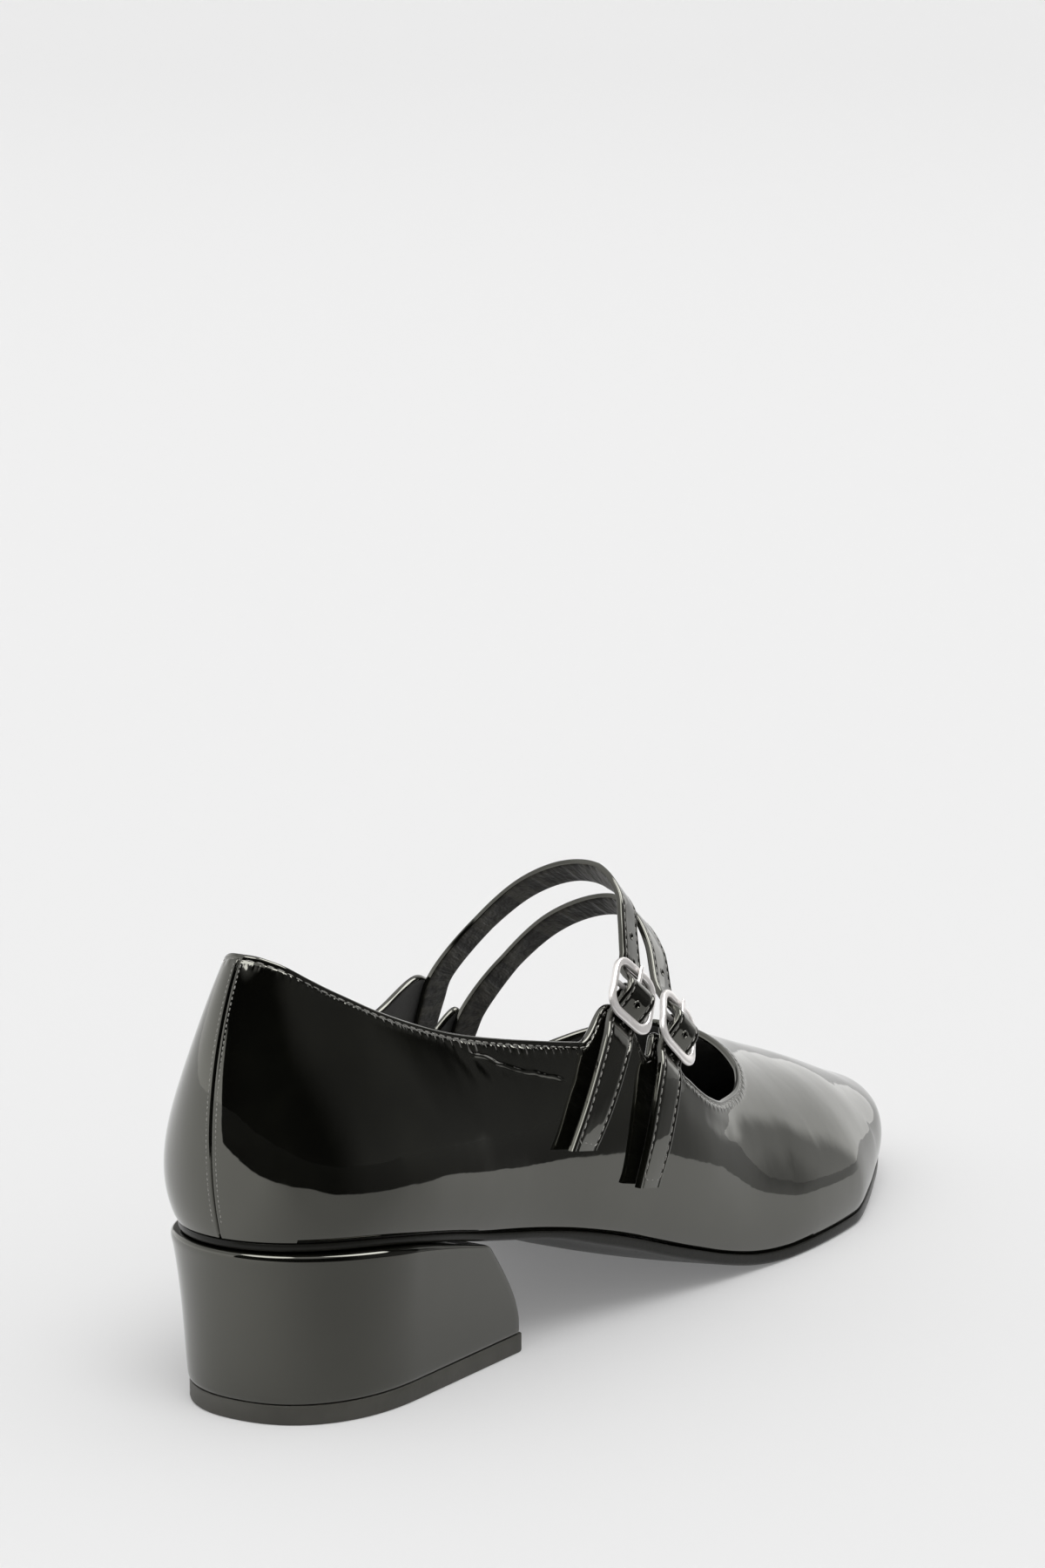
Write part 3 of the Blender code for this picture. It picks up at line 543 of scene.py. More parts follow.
# --- meshes
@dataclass
class Placement:
    """Carries millimetres in the last's axes to the frame's metres."""

    offset: Array = field(default_factory=lambda: np.zeros(3))

    def settle(self, node: str, own: Array) -> None:
        """Finds the offset that puts our own points where the CAD node is.

        Args:
            node: the CAD node's name.
            own: the same piece's points in millimetres.
        """
        low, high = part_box(node)
        middle = 0.5 * (np.array(low) + np.array(high)) / MM
        self.offset[:2] = (middle - 0.5 * (own.min(axis=0) + own.max(axis=0)))[:2]

    def metres(self, points: Array) -> Array:
        """Points in the frame."""
        return (np.asarray(points, float).reshape(-1, 3) + self.offset) * MM


PLACE = Placement()


def placed(name: str, data: bpy.types.ID) -> Piece:
    """A new object in the scene.

    Args:
        name: its name.
        data: its mesh, camera or light.

    Returns:
        The object, at the origin.
    """
    piece = bpy.data.objects.new(name, data)
    bpy.context.scene.collection.objects.link(piece)
    return piece


class MeshPlan:
    """Vertices and faces gathered in rows, then made into one object."""

    def __init__(self) -> None:
        """Starts empty."""
        self.points: list[Array] = []
        self.uvs: list[Array] = []
        self.faces: list[tuple[int, ...]] = []
        self.slots: list[int] = []
        self.count = 0

    def add(self, points: Array, uvs: Optional[Array] = None) -> Array:
        """Adds a block of points.

        Args:
            points: any shape that ends in 3, in millimetres.
            uvs: a pair for each point, or nothing.

        Returns:
            The points' indices, in the same shape.
        """
        flat = np.asarray(points, float).reshape(-1, 3)
        pairs = np.zeros((len(flat), 2)) if uvs is None else np.asarray(uvs, float).reshape(-1, 2)
        self.points.append(flat)
        self.uvs.append(pairs)
        index = np.arange(self.count, self.count + len(flat)).reshape(np.shape(points)[:-1])
        self.count += len(flat)
        return index

    def strip(self, first: Array, second: Array, closed: bool, slot: int = 0) -> None:
        """Quads between two rows of indices of the same length.

        Args:
            first: one row.
            second: the other.
            closed: whether both run round to their starts.
            slot: the material slot.
        """
        ends = (np.roll(first, -1), np.roll(second, -1))
        stop = len(first) if closed else len(first) - 1
        for a, b, c, d in list(zip(first, ends[0], ends[1], second))[:stop]:
            self.faces.append((int(a), int(b), int(c), int(d)))
            self.slots.append(slot)

    def grid(self, index: Array, closed: bool, slot: int = 0) -> None:
        """Quads over a block of indices.

        Args:
            index: the block.
            closed: whether its first axis runs round to its start.
            slot: the material slot.
        """
        columns = index.T
        for first, second in zip(columns, columns[1:]):
            self.strip(first, second, closed, slot)

    def cap(self, row: Sequence[int]) -> None:
        """One face over a ring."""
        self.faces.append(tuple(int(i) for i in row))
        self.slots.append(0)

    def tube(self, index: Array) -> None:
        """Closed solid from rings along a path, with a face over each end.

        Args:
            index: the points' indices, by ring.
        """
        self.grid(index.T, True)
        self.cap(index[0])
        self.cap(index[-1][::-1])

    def solid(self, rings: Sequence[tuple[Array, Number]]) -> None:
        """Closed solid from plan rings, with both end rings sewn across.

        Args:
            rings: plan points and heights of each ring, whose first point is on the middle line.
        """
        rows = [self.add(np.column_stack([flat, z + np.zeros(len(flat))])) for flat, z in rings]
        for first, second in zip(rows, rows[1:]):
            self.strip(first, second, True)
        for row in (rows[0], rows[-1]):
            for i in range(len(row) // 2):
                self.cap(list(dict.fromkeys((row[i], row[i + 1], row[-i - 1], row[-i]))))

    def build(self, name: str, materials: Sequence[Material],
              sharp: float = 40.0) -> Piece:
        """Makes the object, with doubles merged and its faces turned outwards.

        Args:
            name: the object's name.
            materials: its material slots.
            sharp: edges sharper than this many degrees stay crisp.

        Returns:
            The object, at the origin, linked to the scene.
        """
        mesh = bpy.data.meshes.new(name)
        mesh.from_pydata(PLACE.metres(np.concatenate(self.points)).tolist(), [], self.faces)
        mesh.polygons.foreach_set("material_index", self.slots)
        layer = mesh.uv_layers.new(name="surface")
        loops = np.zeros(len(mesh.loops), np.int32)
        mesh.loops.foreach_get("vertex_index", loops)
        layer.data.foreach_set("uv", np.concatenate(self.uvs)[loops].astype(np.float32).ravel())
        work = bmesh.new()
        work.from_mesh(mesh)
        bmesh.ops.remove_doubles(work, verts=work.verts, dist=MERGE)
        bmesh.ops.recalc_face_normals(work, faces=work.faces)
        if work.calc_volume(signed=True) < 0.0:
            bmesh.ops.reverse_faces(work, faces=work.faces)
        work.to_mesh(mesh)
        work.free()
        for material in materials:
            mesh.materials.append(material)
        mesh.shade_smooth()
        mesh.set_sharp_from_angle(angle=math.radians(sharp))
        return placed(name, mesh)


def oval_rings(wide: Array, thick: Array, count: int, power: Range = (1.0, 1.0),
               shift: float = 0.0) -> Array:
    """Rings of offsets about a path.

    Args:
        wide: the rings' half width, as a vector for each point of the path.
        thick: the same for their half thickness.
        count: points in a ring.
        power: 1 for an ellipse, less for squarer sides, across and outwards.
        shift: how far the first point is turned, in steps of a ring.

    Returns:
        Offsets, by point of the path and of the ring.
    """
    rings = []
    for k in range(count):
        angle = TURN * (k + shift) / count
        across, out = math.cos(angle), math.sin(angle)
        across = math.copysign(abs(across) ** power[0], across)
        out = math.copysign(abs(out) ** power[1], out)
        rings.append(wide * across + thick * out)
    return np.stack(rings, axis=1)


def sweep(path: Array, rings: Array, name: str, material: Material,
          closed: bool = False) -> Piece:
    """Solid along a path from a ring of offsets at each of its points.

    Args:
        path: its points.
        rings: the offsets.
        name: the object's name.
        material: its material.
        closed: whether the path runs round to its start.

    Returns:
        The object.
    """
    plan = MeshPlan()
    index = plan.add(path[:, None, :] + rings)
    if closed:
        plan.grid(index.T, True)
        plan.strip(index[-1], index[0], True)
    else:
        plan.tube(index)
    return plan.build(name, [material])


def baked(piece: Piece) -> Piece:
    """Applies a piece's modifiers to its mesh and removes them.

    Args:
        piece: the object.

    Returns:
        The same object.
    """
    graph = bpy.context.evaluated_depsgraph_get()
    graph.update()
    mesh = bpy.data.meshes.new_from_object(piece.evaluated_get(graph))
    old = piece.data
    piece.modifiers.clear()
    piece.data = mesh
    if isinstance(old, bpy.types.Mesh):
        bpy.data.meshes.remove(old)
    mesh.name = piece.name
    return piece


def outline_offset(ring: Array, distance: Array) -> Array:
    """A closed plan outline moved outwards.

    Args:
        ring: its points.
        distance: how far each moves.

    Returns:
        The moved plan points.
    """
    along = np.roll(ring, -1, axis=0) - np.roll(ring, 1, axis=0)
    out = unit(np.stack([-along[:, 1], along[:, 0]], axis=1))
    middle = ring[:, :2].mean(axis=0)
    if (out * (ring[:, :2] - middle)).sum() < 0.0:
        out = -out
    return ring[:, :2] + out * np.asarray(distance)[:, None]


# --- shader nodes
Operand = Union["Socket", float]


class Socket:
    """An output socket with arithmetic: an expression on it adds its Math nodes."""

    def __init__(self, tree: "NodeTree", out: bpy.types.NodeSocket) -> None:
        """Wraps one output of a tree."""
        self.tree = tree
        self.out = out

    def _math(self, operation: str, *values: Operand) -> "Socket":
        """A Math node on values."""
        inputs = dict(enumerate(values))
        return self.tree.node("ShaderNodeMath", {"operation": operation}, inputs)

    def __add__(self, other: Operand) -> "Socket":
        """Sum."""
        return self._math("ADD", self, other)

    def __radd__(self, other: float) -> "Socket":
        """Sum."""
        return self._math("ADD", other, self)

    def __sub__(self, other: Operand) -> "Socket":
        """Difference."""
        return self._math("SUBTRACT", self, other)

    def __rsub__(self, other: float) -> "Socket":
        """Difference."""
        return self._math("SUBTRACT", other, self)

    def __mul__(self, other: Operand) -> "Socket":
        """Product."""
        return self._math("MULTIPLY", self, other)

    def __rmul__(self, other: float) -> "Socket":
        """Product."""
        return self._math("MULTIPLY", other, self)

    def __truediv__(self, other: Operand) -> "Socket":
        """Quotient."""
        return self._math("DIVIDE", self, other)

    def sine(self) -> "Socket":
        """Sine of an angle in radians."""
        return self._math("SINE", self)

    def maximum(self, other: Operand) -> "Socket":
        """The larger of two values."""
        return self._math("MAXIMUM", self, other)

    def angle_from(self, ahead: "Socket") -> "Socket":
        """Angle in degrees of (ahead, self), from straight ahead towards self."""
        return self._math("ARCTAN2", self, ahead) * math.degrees(1.0)

    def ease(self, low: float, high: float) -> "Socket":
        """0 below low and 1 above high, eased between; high may be the smaller."""
        values = {"Value": self, "From Min": low, "From Max": high}
        return self.tree.node("ShaderNodeMapRange", {"interpolation_type": "SMOOTHSTEP"}, values)

    def bell(self, centre: float, width: float) -> "Socket":
        """Soft bump of height 1 at centre."""
        offset = (self - centre) / width
        return self._math("EXPONENT", offset * offset * -1.0)


class NodeTree:
    """A node tree that is filled by one method."""

    def __init__(self, tree: bpy.types.NodeTree) -> None:
        """Empties the tree it wraps."""
        self.tree = tree
        tree.nodes.clear()

    def node(self, kind: str, settings: Optional[dict] = None,
             inputs: Optional[dict] = None, output: Union[int, str] = 0) -> Socket:
        """Adds a node.

        Args:
            kind: its type's name.
            settings: attributes, set first; "stops" holds a ramp's (place, colour) pairs.
            inputs: value or Socket for each named or numbered input.
            output: which output is returned.

        Returns:
            The output, wrapped.
        """
        made = self.tree.nodes.new(kind)
        for key, value in (settings or {}).items():
            if key == "stops":
                elements = made.color_ramp.elements
                while len(elements) < len(value):
                    elements.new(1.0)
                for element, (place, color) in zip(elements, value):
                    element.position = place
                    element.color = (*color, 1.0)
            else:
                setattr(made, key, value)
        for key, value in (inputs or {}).items():
            if isinstance(value, Socket):
                self.tree.links.new(value.out, made.inputs[key])
            else:
                made.inputs[key].default_value = value
        return Socket(self, made.outputs[output])


class Shader(NodeTree):
    """A material's or the world's tree, with the nodes that the finishes share."""

    def place(self) -> Socket:
        """Object coordinates, in metres."""
        return self.node("ShaderNodeTexCoord", output="Object")

    def surface(self) -> tuple[Socket, Socket]:
        """The piece's own map.

        Returns:
            Distance along and distance from the edge, in millimetres.
        """
        along, off, _ = self.parts(self.node("ShaderNodeUVMap", {"uv_map": "surface"}))
        return along * UV_UNIT, off * UV_UNIT

    def parts(self, vector: Socket) -> list[Socket]:
        """A vector's three parts."""
        return [self.node("ShaderNodeSeparateXYZ", inputs={0: vector}, output=k) for k in range(3)]

    def noise(self, size: float, detail: float = 2.0, rough: float = 0.5,
              vector: Optional[Socket] = None) -> Socket:
        """Noise from 0 to 1.

        Args:
            size: how far across its features are, in metres.
            detail: octaves.
            rough: how strong the finer octaves are.
            vector: where it is read; Object coordinates if nothing is given.

        Returns:
            The noise.
        """
        inputs = {
            "Vector": vector or self.place(), "Scale": 1.0 / size,
            "Detail": detail, "Roughness": rough,
        }
        return self.node("ShaderNodeTexNoise", {"noise_dimensions": "3D"}, inputs)

    def grain(self, grain: "Grain") -> Socket:
        """Noise of one of a finish's sizes."""
        return self.noise(grain.size, grain.detail, grain.rough)

    def blend(self, factor: Operand, first: Sequence[float],
              second: Sequence[float]) -> Socket:
        """Colour between two colours."""
        inputs = {"Factor": factor, 6: (*first, 1.0), 7: (*second, 1.0)}
        return self.node("ShaderNodeMix", {"data_type": "RGBA"}, inputs, output=2)

    def bump(self, height: Socket, distance: float, strength: float = 1.0) -> Socket:
        """Normal from a height, where height 1 stands distance metres out."""
        inputs = {"Height": height, "Distance": distance, "Strength": strength}
        return self.node("ShaderNodeBump", inputs=inputs, output="Normal")

    def principled(self, inputs: dict) -> None:
        """The surface shader and the output."""
        shader = self.node("ShaderNodeBsdfPrincipled", inputs=inputs, output=0)
        self.node_output(shader)

    def node_output(self, shader: Socket) -> None:
        """The material output."""
        made = self.tree.nodes.new("ShaderNodeOutputMaterial")
        self.tree.links.new(shader.out, made.inputs["Surface"])


def material_tree(name: str) -> tuple[Material, Shader]:
    """A new material.

    Args:
        name: its name.

    Returns:
        The material and its empty tree.
    """
    material = bpy.data.materials.new(name)
    material.use_nodes = True
    return material, Shader(material.node_tree)


# --- finishes
class Band(NamedTuple):
    """A ridge along an edge, or a furrow: height, distance from the edge and half width."""

    height: float
    place: float
    width: float

    def at(self, v: Array) -> Array:
        """Its height at distances from the edge."""
        return self.height * bell(v, self.place, self.width)


class Grain(NamedTuple):
    """Noise of one size in metres, its octaves, their strength, and its share of the relief."""

    size: float
    detail: float
    rough: float
    share: float = 1.0


@dataclass(frozen=True)
class PatentFinish:
    """Black patent leather: a hard clear film over a slightly uneven hide."""

    name: str = "black_patent"
    color: Color = (0.0012, 0.00125, 0.0009)
    bloom: Color = (0.0038, 0.0039, 0.0028)
    tint: Color = (1.0, 0.995, 0.89)
    bloomed: Range = (0.35, 0.75)
    hazed: Range = (0.5, 0.8)
    roughness: float = 0.035
    haze: float = 0.03
    index: float = 1.95
    wave: float = 0.00009
    broad: Grain = Grain(0.017, 1.0, 0.4, 1.6)
    soft: Grain = Grain(0.0075, 1.5, 0.4, 0.6)
    fine: Grain = Grain(0.0022, 2.0, 0.5, 0.08)
    smear: Grain = Grain(0.021, 3.0, 0.6)
    stitched: bool = False
    pucker: Band = Band(0.35, 1.5, 0.7)
    pucker_pitch: float = 2.2
    fold: tuple[float, float, float, float] = (48.5, 66.4, 78.0, 54.8)
    fold_width: float = 0.5
    fold_height: float = 2.9
    fold_wander: float = 3.2
    fold_ends: Range = (4.0, 5.0)

    def build(self) -> Material:
        """Makes the material.

        Returns:
            The material.
        """
        material, shader = material_tree(self.name)
        soft = shader.grain(self.soft)
        height = shader.grain(self.broad) * self.broad.share + soft * self.soft.share
        height = height + shader.grain(self.fine) * self.fine.share
        if self.stitched:
            along, off = shader.surface()
            pucker = (along * (TURN / self.pucker_pitch)).sine()
            pucker = pucker * off.bell(self.pucker.place, self.pucker.width)
            height = height + pucker * self.pucker.height + self._crest(shader, soft)
        smear = shader.grain(self.smear)
        shader.principled({
            "Base Color": shader.blend(smear.ease(*self.bloomed), self.color, self.bloom),
            "Roughness": self.roughness + smear.ease(*self.hazed) * self.haze,
            "IOR": self.index,
            "Specular Tint": (*self.tint, 1.0),
            "Normal": shader.bump(height, self.wave),
        })
        return material

    def _crest(self, shader: Shader, wander: Socket) -> Socket:
        """The thin fold that runs down from the puckers to the rear strap's tail.

        Args:
            shader: the tree to build in.
            wander: noise that bends the fold.

        Returns:
            Its share of the relief.
        """
        x, y, z = (part * (1.0 / MM) for part in shader.parts(shader.place()))
        x, z = x - PLACE.offset[0] - self.fold[0], z - self.fold[1]
        run, drop = self.fold[2] - self.fold[0], self.fold[1] - self.fold[3]
        long = math.hypot(run, drop)
        down = (x * run - z * drop) / long
        aside = (z * run + x * drop) / long + wander * self.fold_wander - 0.5 * self.fold_wander
        ends = down.ease(0.0, self.fold_ends[0]) * down.ease(long, long - self.fold_ends[1])
        return aside.bell(0.0, self.fold_width) * (ends * y.ease(0.0, -1.0)) * self.fold_height


@dataclass(frozen=True)
class LiningFinish:
    """Matte lining: brushed fabric with fine creases across it; when creased, its colour carries
    painted shading on the folds.
    """

    name: str = "lining"
    color: Color = (0.020, 0.020, 0.017)
    pale: Color = (0.042, 0.041, 0.036)
    paled: Range = (0.3, 0.75)
    roughness: float = 0.62
    uneven: float = 0.16
    sheen: Range = (0.25, 0.5)
    nap: Grain = Grain(0.0009, 3.0, 0.6, 0.35)
    cloud: Grain = Grain(0.012, 3.0, 0.6, 0.4)
    depth: float = 0.00012
    creased: bool = False
    crease: Grain = Grain(3.2, 3.0, 0.65, 2.6)
    crease_stretch: float = 0.3
    crease_range: Range = (0.3, 0.7)
    crease_tone: float = 0.65

    def build(self) -> Material:
        """Makes the material.

        Returns:
            The material.
        """
        material, shader = material_tree(self.name)
        nap, cloud = shader.grain(self.nap), shader.grain(self.cloud)
        height = nap * self.nap.share + cloud * self.cloud.share
        if self.creased:
            along, off = shader.surface()
            line = shader.node("ShaderNodeCombineXYZ", inputs={
                0: along, 1: off * self.crease_stretch, 2: 0.0})
            fold = shader.noise(*self.crease[:3], line).ease(*self.crease_range)
            height = height + fold * self.crease.share
            # Painted shading: the colour follows the folds, paler on their ridges and darker in the
            # troughs between them.
            cloud = cloud * (1.0 - self.crease_tone) + fold * self.crease_tone
        shader.principled({
            "Base Color": shader.blend(cloud.ease(*self.paled), self.color, self.pale),
            "Roughness": self.roughness + (nap - 0.5) * self.uneven,
            "Sheen Weight": self.sheen[0],
            "Sheen Roughness": self.sheen[1],
            "Normal": shader.bump(height, self.depth),
        })
        return material


@dataclass(frozen=True)
class MouldedFinish:
    """Moulded rubber or resin sole, satin, with a fine pebble and faint scuffs."""

    name: str
    color: Color
    pale: Color
    roughness: float
    index: float = 1.5
    depth: float = 0.00003
    pebble: Grain = Grain(0.0007, 2.0, 0.5)
    cloud: Grain = Grain(0.016, 4.0, 0.6, 0.8)
    scuff: Grain = Grain(0.0035, 4.0, 0.7, 0.12)
    paled: Range = (0.3, 0.7)
    scuffed: Range = (0.58, 0.75)
    uneven: float = 0.08

    def build(self) -> Material:
        """Makes the material.

        Returns:
            The material.
        """
        material, shader = material_tree(self.name)
        pebble, cloud = shader.grain(self.pebble), shader.grain(self.cloud)
        scuff = shader.grain(self.scuff).ease(*self.scuffed) * self.scuff.share
        shader.principled({
            "Base Color": shader.blend(cloud.ease(*self.paled), self.color, self.pale),
            "Roughness": self.roughness + scuff + (pebble - 0.5) * self.uneven,
            "IOR": self.index,
            "Normal": shader.bump(pebble + cloud * self.cloud.share, self.depth),
        })
        return material


@dataclass(frozen=True)
class MetalFinish:
    """Polished nickel plate with a little handling haze."""

    name: str = "buckle_silver"
    color: Color = (0.93, 0.90, 0.885)
    dull: Color = (0.80, 0.77, 0.755)
    dulled: Range = (0.35, 0.8)
    hazed: Range = (0.4, 0.8)
    metallic: float = 0.6
    roughness: float = 0.28
    haze: float = 0.1
    cloud: Grain = Grain(0.003, 3.0, 0.6)
    scratch: Grain = Grain(0.0006, 3.0, 0.7, 0.2)
    depth: float = 0.000001

    def build(self) -> Material:
        """Makes the material.

        Returns:
            The material.
        """
        material, shader = material_tree(self.name)
        cloud, scratch = shader.grain(self.cloud), shader.grain(self.scratch)
        shader.principled({
            "Base Color": shader.blend(cloud.ease(*self.dulled), self.color, self.dull),
            "Metallic": self.metallic,
            "Roughness": self.roughness + cloud.ease(*self.hazed) * self.haze,
            "Normal": shader.bump(cloud + scratch * self.scratch.share, self.depth),
        })
        return material


@dataclass(frozen=True)
class ThreadFinish:
    """Bonded polyester thread: twisted plies with a dull shine."""

    name: str = "thread"
    # Painted highlight, in part: the thread itself is dark grey, and its paler plies are lighter
    # than that, standing in for the light the stitches catch as well as the thread's uneven tone.
    color: Color = (0.10, 0.098, 0.088)
    pale: Color = (0.34, 0.33, 0.31)
    paled: Range = (0.35, 0.7)
    roughness: float = 0.28
    index: float = 1.6
    ply: Grain = Grain(0.00025, 2.0, 0.6, 0.15)
    depth: float = 0.00006

    def build(self) -> Material:
        """Makes the material.

        Returns:
            The material.
        """
        material, shader = material_tree(self.name)
        ply = shader.grain(self.ply)
        shader.principled({
            "Base Color": shader.blend(ply.ease(*self.paled), self.color, self.pale),
            "Roughness": self.roughness + ply * self.ply.share,
            "IOR": self.index,
            "Normal": shader.bump(ply, self.depth),
        })
        return material


class Finish(Enum):
    """The shoe's finishes."""

    PATENT = PatentFinish()
    STITCHED_PATENT = PatentFinish(name="black_patent_upper", stitched=True)
    HEEL_PATENT = PatentFinish(name="heel_patent", wave=0.000045, index=1.9)
    LINING = LiningFinish()
    STRAP_LINING = LiningFinish(
        name="strap_lining", color=(0.011, 0.0105, 0.0075), pale=(0.058, 0.055, 0.042),
        creased=True, roughness=0.5)
    SOCK = LiningFinish(
        name="sock_lining", color=(0.030, 0.028, 0.024), pale=(0.05, 0.047, 0.041))
    SOLE = MouldedFinish("sole_black", (0.008, 0.008, 0.0065), (0.012, 0.0118, 0.0098), 0.3, 1.27)
    LIFT = MouldedFinish("lift_rubber", (0.040, 0.039, 0.032), (0.055, 0.053, 0.045), 0.55)
    SILVER = MetalFinish()
    THREAD = ThreadFinish()


class Finishes:
    """Makes each finish's material once."""

    def __init__(self) -> None:
        """Starts with none made."""
        self.made: dict[Finish, Material] = {}

    def __getitem__(self, finish: Finish) -> Material:
        """The material of a finish.

        Args:
            finish: which one.

        Returns:
            Its material, made once.
        """
        if finish not in self.made:
            self.made[finish] = finish.value.build()
        return self.made[finish]


FINISHES = Finishes()


# --- stitching
@dataclass
class StitchRow:
    """Row of thread stitches along a path on a surface, made by Geometry Nodes."""

    pitch: float = 2.2
    length: float = 1.75
    thickness: float = 0.34
    sink: float = 0.02
    variation: Range = (0.9, 1.08)
    segments: int = 9
    rings: int = 6
    seed: int = 7

    def tree(self) -> bpy.types.NodeTree:
        """The node tree: curve, even points, one stitch on each, realized.

        Returns:
            A tree with named inputs for pitch, length, thickness and sink, in metres.
        """
        tree = bpy.data.node_groups.new("stitch_row", "GeometryNodeTree")
        face = tree.interface
        face.new_socket("Geometry", in_out="INPUT", socket_type="NodeSocketGeometry")
        for name in ("Pitch", "Length", "Thickness", "Sink"):
            face.new_socket(name, in_out="INPUT", socket_type="NodeSocketFloat")
        face.new_socket("Material", in_out="INPUT", socket_type="NodeSocketMaterial")
        face.new_socket("Geometry", in_out="OUTPUT", socket_type="NodeSocketGeometry")
        maker = NodeTree(tree)
        source = tree.nodes.new("NodeGroupInput")
        given = {s.name: Socket(maker, s) for s in source.outputs if s.name}
        curve = maker.node("GeometryNodeMeshToCurve", inputs={"Mesh": given["Geometry"]})
        even = maker.node("GeometryNodeResampleCurve", {"mode": "LENGTH"},
                          {"Curve": curve, "Length": given["Pitch"]})
        tangent = maker.node("GeometryNodeInputTangent")
        facing = maker.node("GeometryNodeInputNamedAttribute", {"data_type": "FLOAT_VECTOR"},
                            {"Name": "facing"})
        turned = maker.node("FunctionNodeAlignRotationToVector", {"axis": "X"},
                            {"Vector": tangent})
        turned = maker.node("FunctionNodeAlignRotationToVector", {"axis": "Z", "pivot_axis": "X"},
                            {"Rotation": turned, "Vector": facing})
        ball = maker.node("GeometryNodeMeshUVSphere",
                          inputs={"Segments": self.segments, "Rings": self.rings,
                                  "Radius": 0.5})
        scale = maker.node("ShaderNodeCombineXYZ", inputs={
            0: given["Length"], 1: given["Thickness"], 2: given["Thickness"]})
        drop = maker.node("ShaderNodeCombineXYZ", inputs={0: 0.0, 1: 0.0, 2: given["Sink"] * -1.0})
        stitch = maker.node("GeometryNodeTransform", inputs={
            "Geometry": ball, "Scale": scale, "Translation": drop})
        vary = maker.node("FunctionNodeRandomValue", {"data_type": "FLOAT"},
                          {2: self.variation[0], 3: self.variation[1], "Seed": self.seed},
                          output=1)
        placed = maker.node("GeometryNodeInstanceOnPoints", inputs={
            "Points": even, "Instance": stitch, "Rotation": turned, "Scale": vary})
        real = maker.node("GeometryNodeRealizeInstances", inputs={"Geometry": placed})
        smooth = maker.node("GeometryNodeSetShadeSmooth", inputs={"Geometry": real})
        dressed = maker.node("GeometryNodeSetMaterial", inputs={
            "Geometry": smooth, "Material": given["Material"]})
        end = tree.nodes.new("NodeGroupOutput")
        tree.links.new(dressed.out, end.inputs["Geometry"])
        return tree

    def sew(self, name: str, path: Array, facing: Array, closed: bool = False) -> Piece:
        """Sews one row.

        Args:
            name: the object's name.
            path: points on the surface, in millimetres.
            facing: the surface's outward direction at each point.
            closed: whether the row runs round to its start.

        Returns:
            The stitches as one plain mesh.
        """
        count = len(path)
        mesh = bpy.data.meshes.new(name)
        stop = count if closed else count - 1
        edges = [(i, (i + 1) % count) for i in range(stop)]
        mesh.from_pydata(PLACE.metres(path).tolist(), edges, [])
        layer = mesh.attributes.new("facing", "FLOAT_VECTOR", "POINT")
        layer.data.foreach_set("vector", np.asarray(facing, np.float32).ravel())
        piece = placed(name, mesh)
        modifier = piece.modifiers.new("stitches", "NODES")
        tree = self.tree()
        modifier.node_group = tree
        values = {
            "Pitch": self.pitch * MM, "Length": self.length * MM,
            "Thickness": self.thickness * MM, "Sink": self.sink * MM,
            "Material": FINISHES[Finish.THREAD],
        }
        for item in tree.interface.items_tree:
            if item.in_out == "INPUT" and item.name in values:
                modifier[item.identifier] = values[item.name]
        baked(piece)
        bpy.data.node_groups.remove(tree)
        piece.data.materials.clear()
        piece.data.materials.append(FINISHES[Finish.THREAD])
        return piece


def report(piece: Piece, slot: str, *nodes: str) -> None:
    """Puts a finished piece on its body, hides the CAD nodes that it replaces, and logs it.

    Args:
        piece: the object.
        slot: not used.
        nodes: the CAD nodes that it replaces.
    """
    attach(piece, "root")
    if nodes:
        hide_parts(*nodes)
    LOG.info("%s: %d faces", piece.name, len(piece.data.polygons))


# --- the upper
class Crease(NamedTuple):
    """A soft trough on the wall, seen from the side: both ends, half width and depth."""

    x0: float
    z0: float
    x1: float
    z1: float
    width: float
    depth: float


